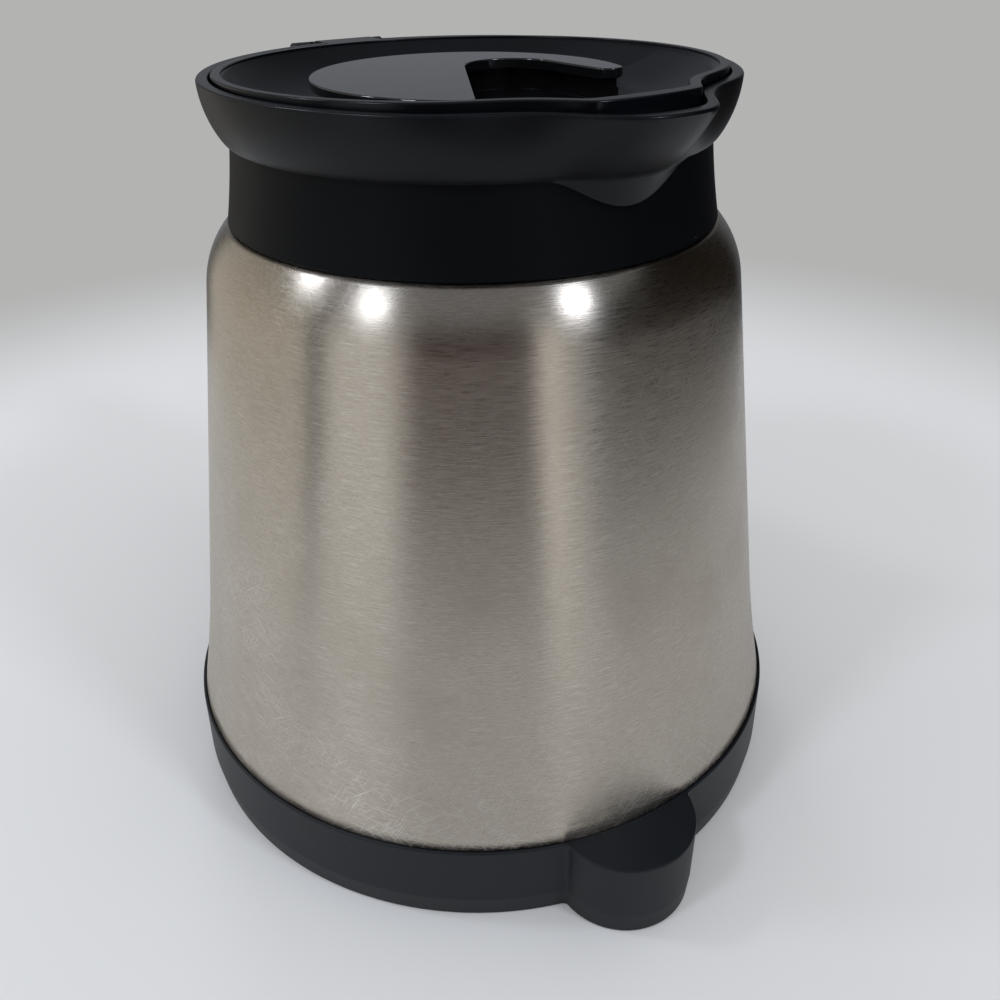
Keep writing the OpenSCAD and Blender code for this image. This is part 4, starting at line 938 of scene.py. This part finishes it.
def open_cell_foam():
    """Pale foam with cells of 0.8 mm: the cell walls are the bright lines, and the darker cell middles are
    painted shade in the open pores.
    """
    material, tree, shader = new_material("open_cell_foam", Roughness=0.95)
    obj = add(tree, "TexCoord").outputs["Object"]
    cells = add(tree, "TexVoronoi", {"Vector": obj, "Scale": 1000 / 0.8}).outputs["Distance"]
    # Painted shade: the colour darkens towards each cell's middle, where the open pore lies in shade.
    tree.links.new(blended(tree, span(tree, cells, 0.1, 0.6), rgb("#8a8372"), rgb("#cfc8b4")),
                   shader.inputs["Base Color"])
    bump = add(tree, "Bump", {"Height": cells, "Strength": 0.8, "Distance": 0.0002})
    tree.links.new(bump.outputs[0], shader.inputs["Normal"])
    return material


FINISH = {
    "brushed_shell_steel": brushed_steel(),
    "plain_flask_steel": plain_metal("drawn_stainless_steel", "#b9b6b0", "#a29f99", 0.26, 0.5, 8),
    "getter_metal": plain_metal("sintered_getter_metal", "#6d6a66", "#4e4c49", 0.6, 0.2),
    "braze_metal": plain_metal("braze_alloy", "#a99274", "#7f6c53", 0.45, 0.4),
    "screw_steel": plain_metal("zinc_plated_steel", "#b5b6b8", "#8f9092", 0.32, 0.15),
    "pin_steel": plain_metal("ground_pin_steel", "#c0c0c0", "#a6a6a6", 0.2, 0.1),
    "base_plastic": moulded("matte_base_polypropylene", "#0c1218", "#12181f", 0.48, 0.4, 0.3, 0.6,
                            Specular_IOR_Level=0.35),
    "collar_plastic": moulded("fine_black_polypropylene", "#04070b", "#07090e", 0.5, 0.25, 0.2, 0.5,
                              Specular_IOR_Level=0.12),
    "bowl_plastic": moulded("satin_black_polypropylene", "#06090d", "#0a0d12", 0.42, 0.35, 0.25, 0.7,
                            wiped=RIM_Z - 0.1, Specular_IOR_Level=0.25),
    "lid_plastic": moulded("satin_lid_polypropylene", "#06090d", "#0a0d12", 0.4, 0.35, 0.25, 0.7,
                           wiped=RIM_Z - 0.1, Specular_IOR_Level=0.25),
    "bracket_plastic": moulded("satin_bracket_polypropylene", "#0c0d0f", "#111215", 0.45,
                               Specular_IOR_Level=0.35),
    "handle_plastic": moulded("satin_handle_polypropylene", "#0e0f11", "#141518", 0.42, 0.4, 0.3, 0.4,
                              Specular_IOR_Level=0.4),
    "plug_plastic": moulded("dark_grey_polypropylene", "#232528", "#2b2d31", 0.5, 0.4, 0.3, 0.2),
    "hub_plastic": moulded("smooth_black_acetal", "#060709", "#0a0b0e", 0.34, 0.3, 0.1, 0.4,
                           Specular_IOR_Level=0.3),
    "pad_rubber": moulded("moulded_rubber", "#27282b", "#35363a", 0.75, 0.3, 0.5, 0.8),
    "o_ring_rubber": moulded("o_ring_rubber", "#1c1c1e", "#242426", 0.55, 0.2, 0.2, 0.1),
    "gasket_silicone": moulded("grey_silicone", "#8b8d90", "#96989b", 0.45, 0.5, 0.2, 0.3,
                               Subsurface_Weight=0.15, Subsurface_Radius=(0.002, 0.002, 0.002),
                               Subsurface_Scale=1.0),
    "dial_gloss": gloss_black(),
    "foam": open_cell_foam(),
}
print("finishes:", len(FINISH))

# %% [markdown]
# ## Putting the finishes on
#
# New pieces stand for their CAD nodes. Inner pieces that show when the lid opens are dressed copies,
# and hidden ones keep the CAD mesh and only get their finish.

# %% Assign
for obj, body, slot, node in ((steel_body, "carafe", "brushed_shell_steel", "outer_shell"),
                              (collar, "carafe", "collar_plastic", "neck_collar"),
                              (bowl, "carafe", "bowl_plastic", "pour_bowl"),
                              (base, "carafe", "base_plastic", "base_ring"),
                              (handle, "carafe", "handle_plastic", "handle_grip"),
                              (lid, "lid", "lid_plastic", "lid_dish"),
                              (dial, "dial", "dial_gloss", "dial_plate")):
    finish_piece(obj, body, slot, FINISH[slot], node)

for node, body, slot, edge in (("inner_flask", "carafe", "plain_flask_steel", 0),
                               ("hinge_bracket", "carafe", "bracket_plastic", 0.6),
                               ("hinge_pin", "carafe", "pin_steel", 0.2),
                               ("base_plate", "carafe", "base_plastic", 0.3),
                               ("base_pad", "carafe", "pad_rubber", 0.3),
                               ("shell_bottom", "carafe", "plain_flask_steel", 0),
                               ("lid_plug", "lid", "plug_plastic", 0.25),
                               ("plug_cover", "lid", "plug_plastic", 0.25),
                               ("lid_gasket", "lid", "gasket_silicone", 0.15),
                               ("dial_hub", "dial", "hub_plastic", 0.2)):
    dressed(node, body, slot, FINISH[slot], edge)

slots = {"getter": "getter_metal", "vacuum_seal": "braze_metal", "collar_seal": "o_ring_rubber",
         "dial_o_ring": "o_ring_rubber", "lid_insulation": "foam", "dial_washer": "pin_steel"}
for name, obj in NODES.items():
    if obj.hide_render:
        continue
    slot = slots.get(name, "screw_steel")
    for place in range(max(1, len(obj.data.materials))):
        if obj.data.materials:
            obj.data.materials[place] = FINISH[slot]
        else:
            obj.data.materials.append(FINISH[slot])
    print("CAD node", name, "has", slot)

# %% [markdown]
# ## The last line
#
# The dressed model has to fill the same box as the CAD model.

# %% Finish
bpy.context.scene.view_settings.view_transform = "Standard"
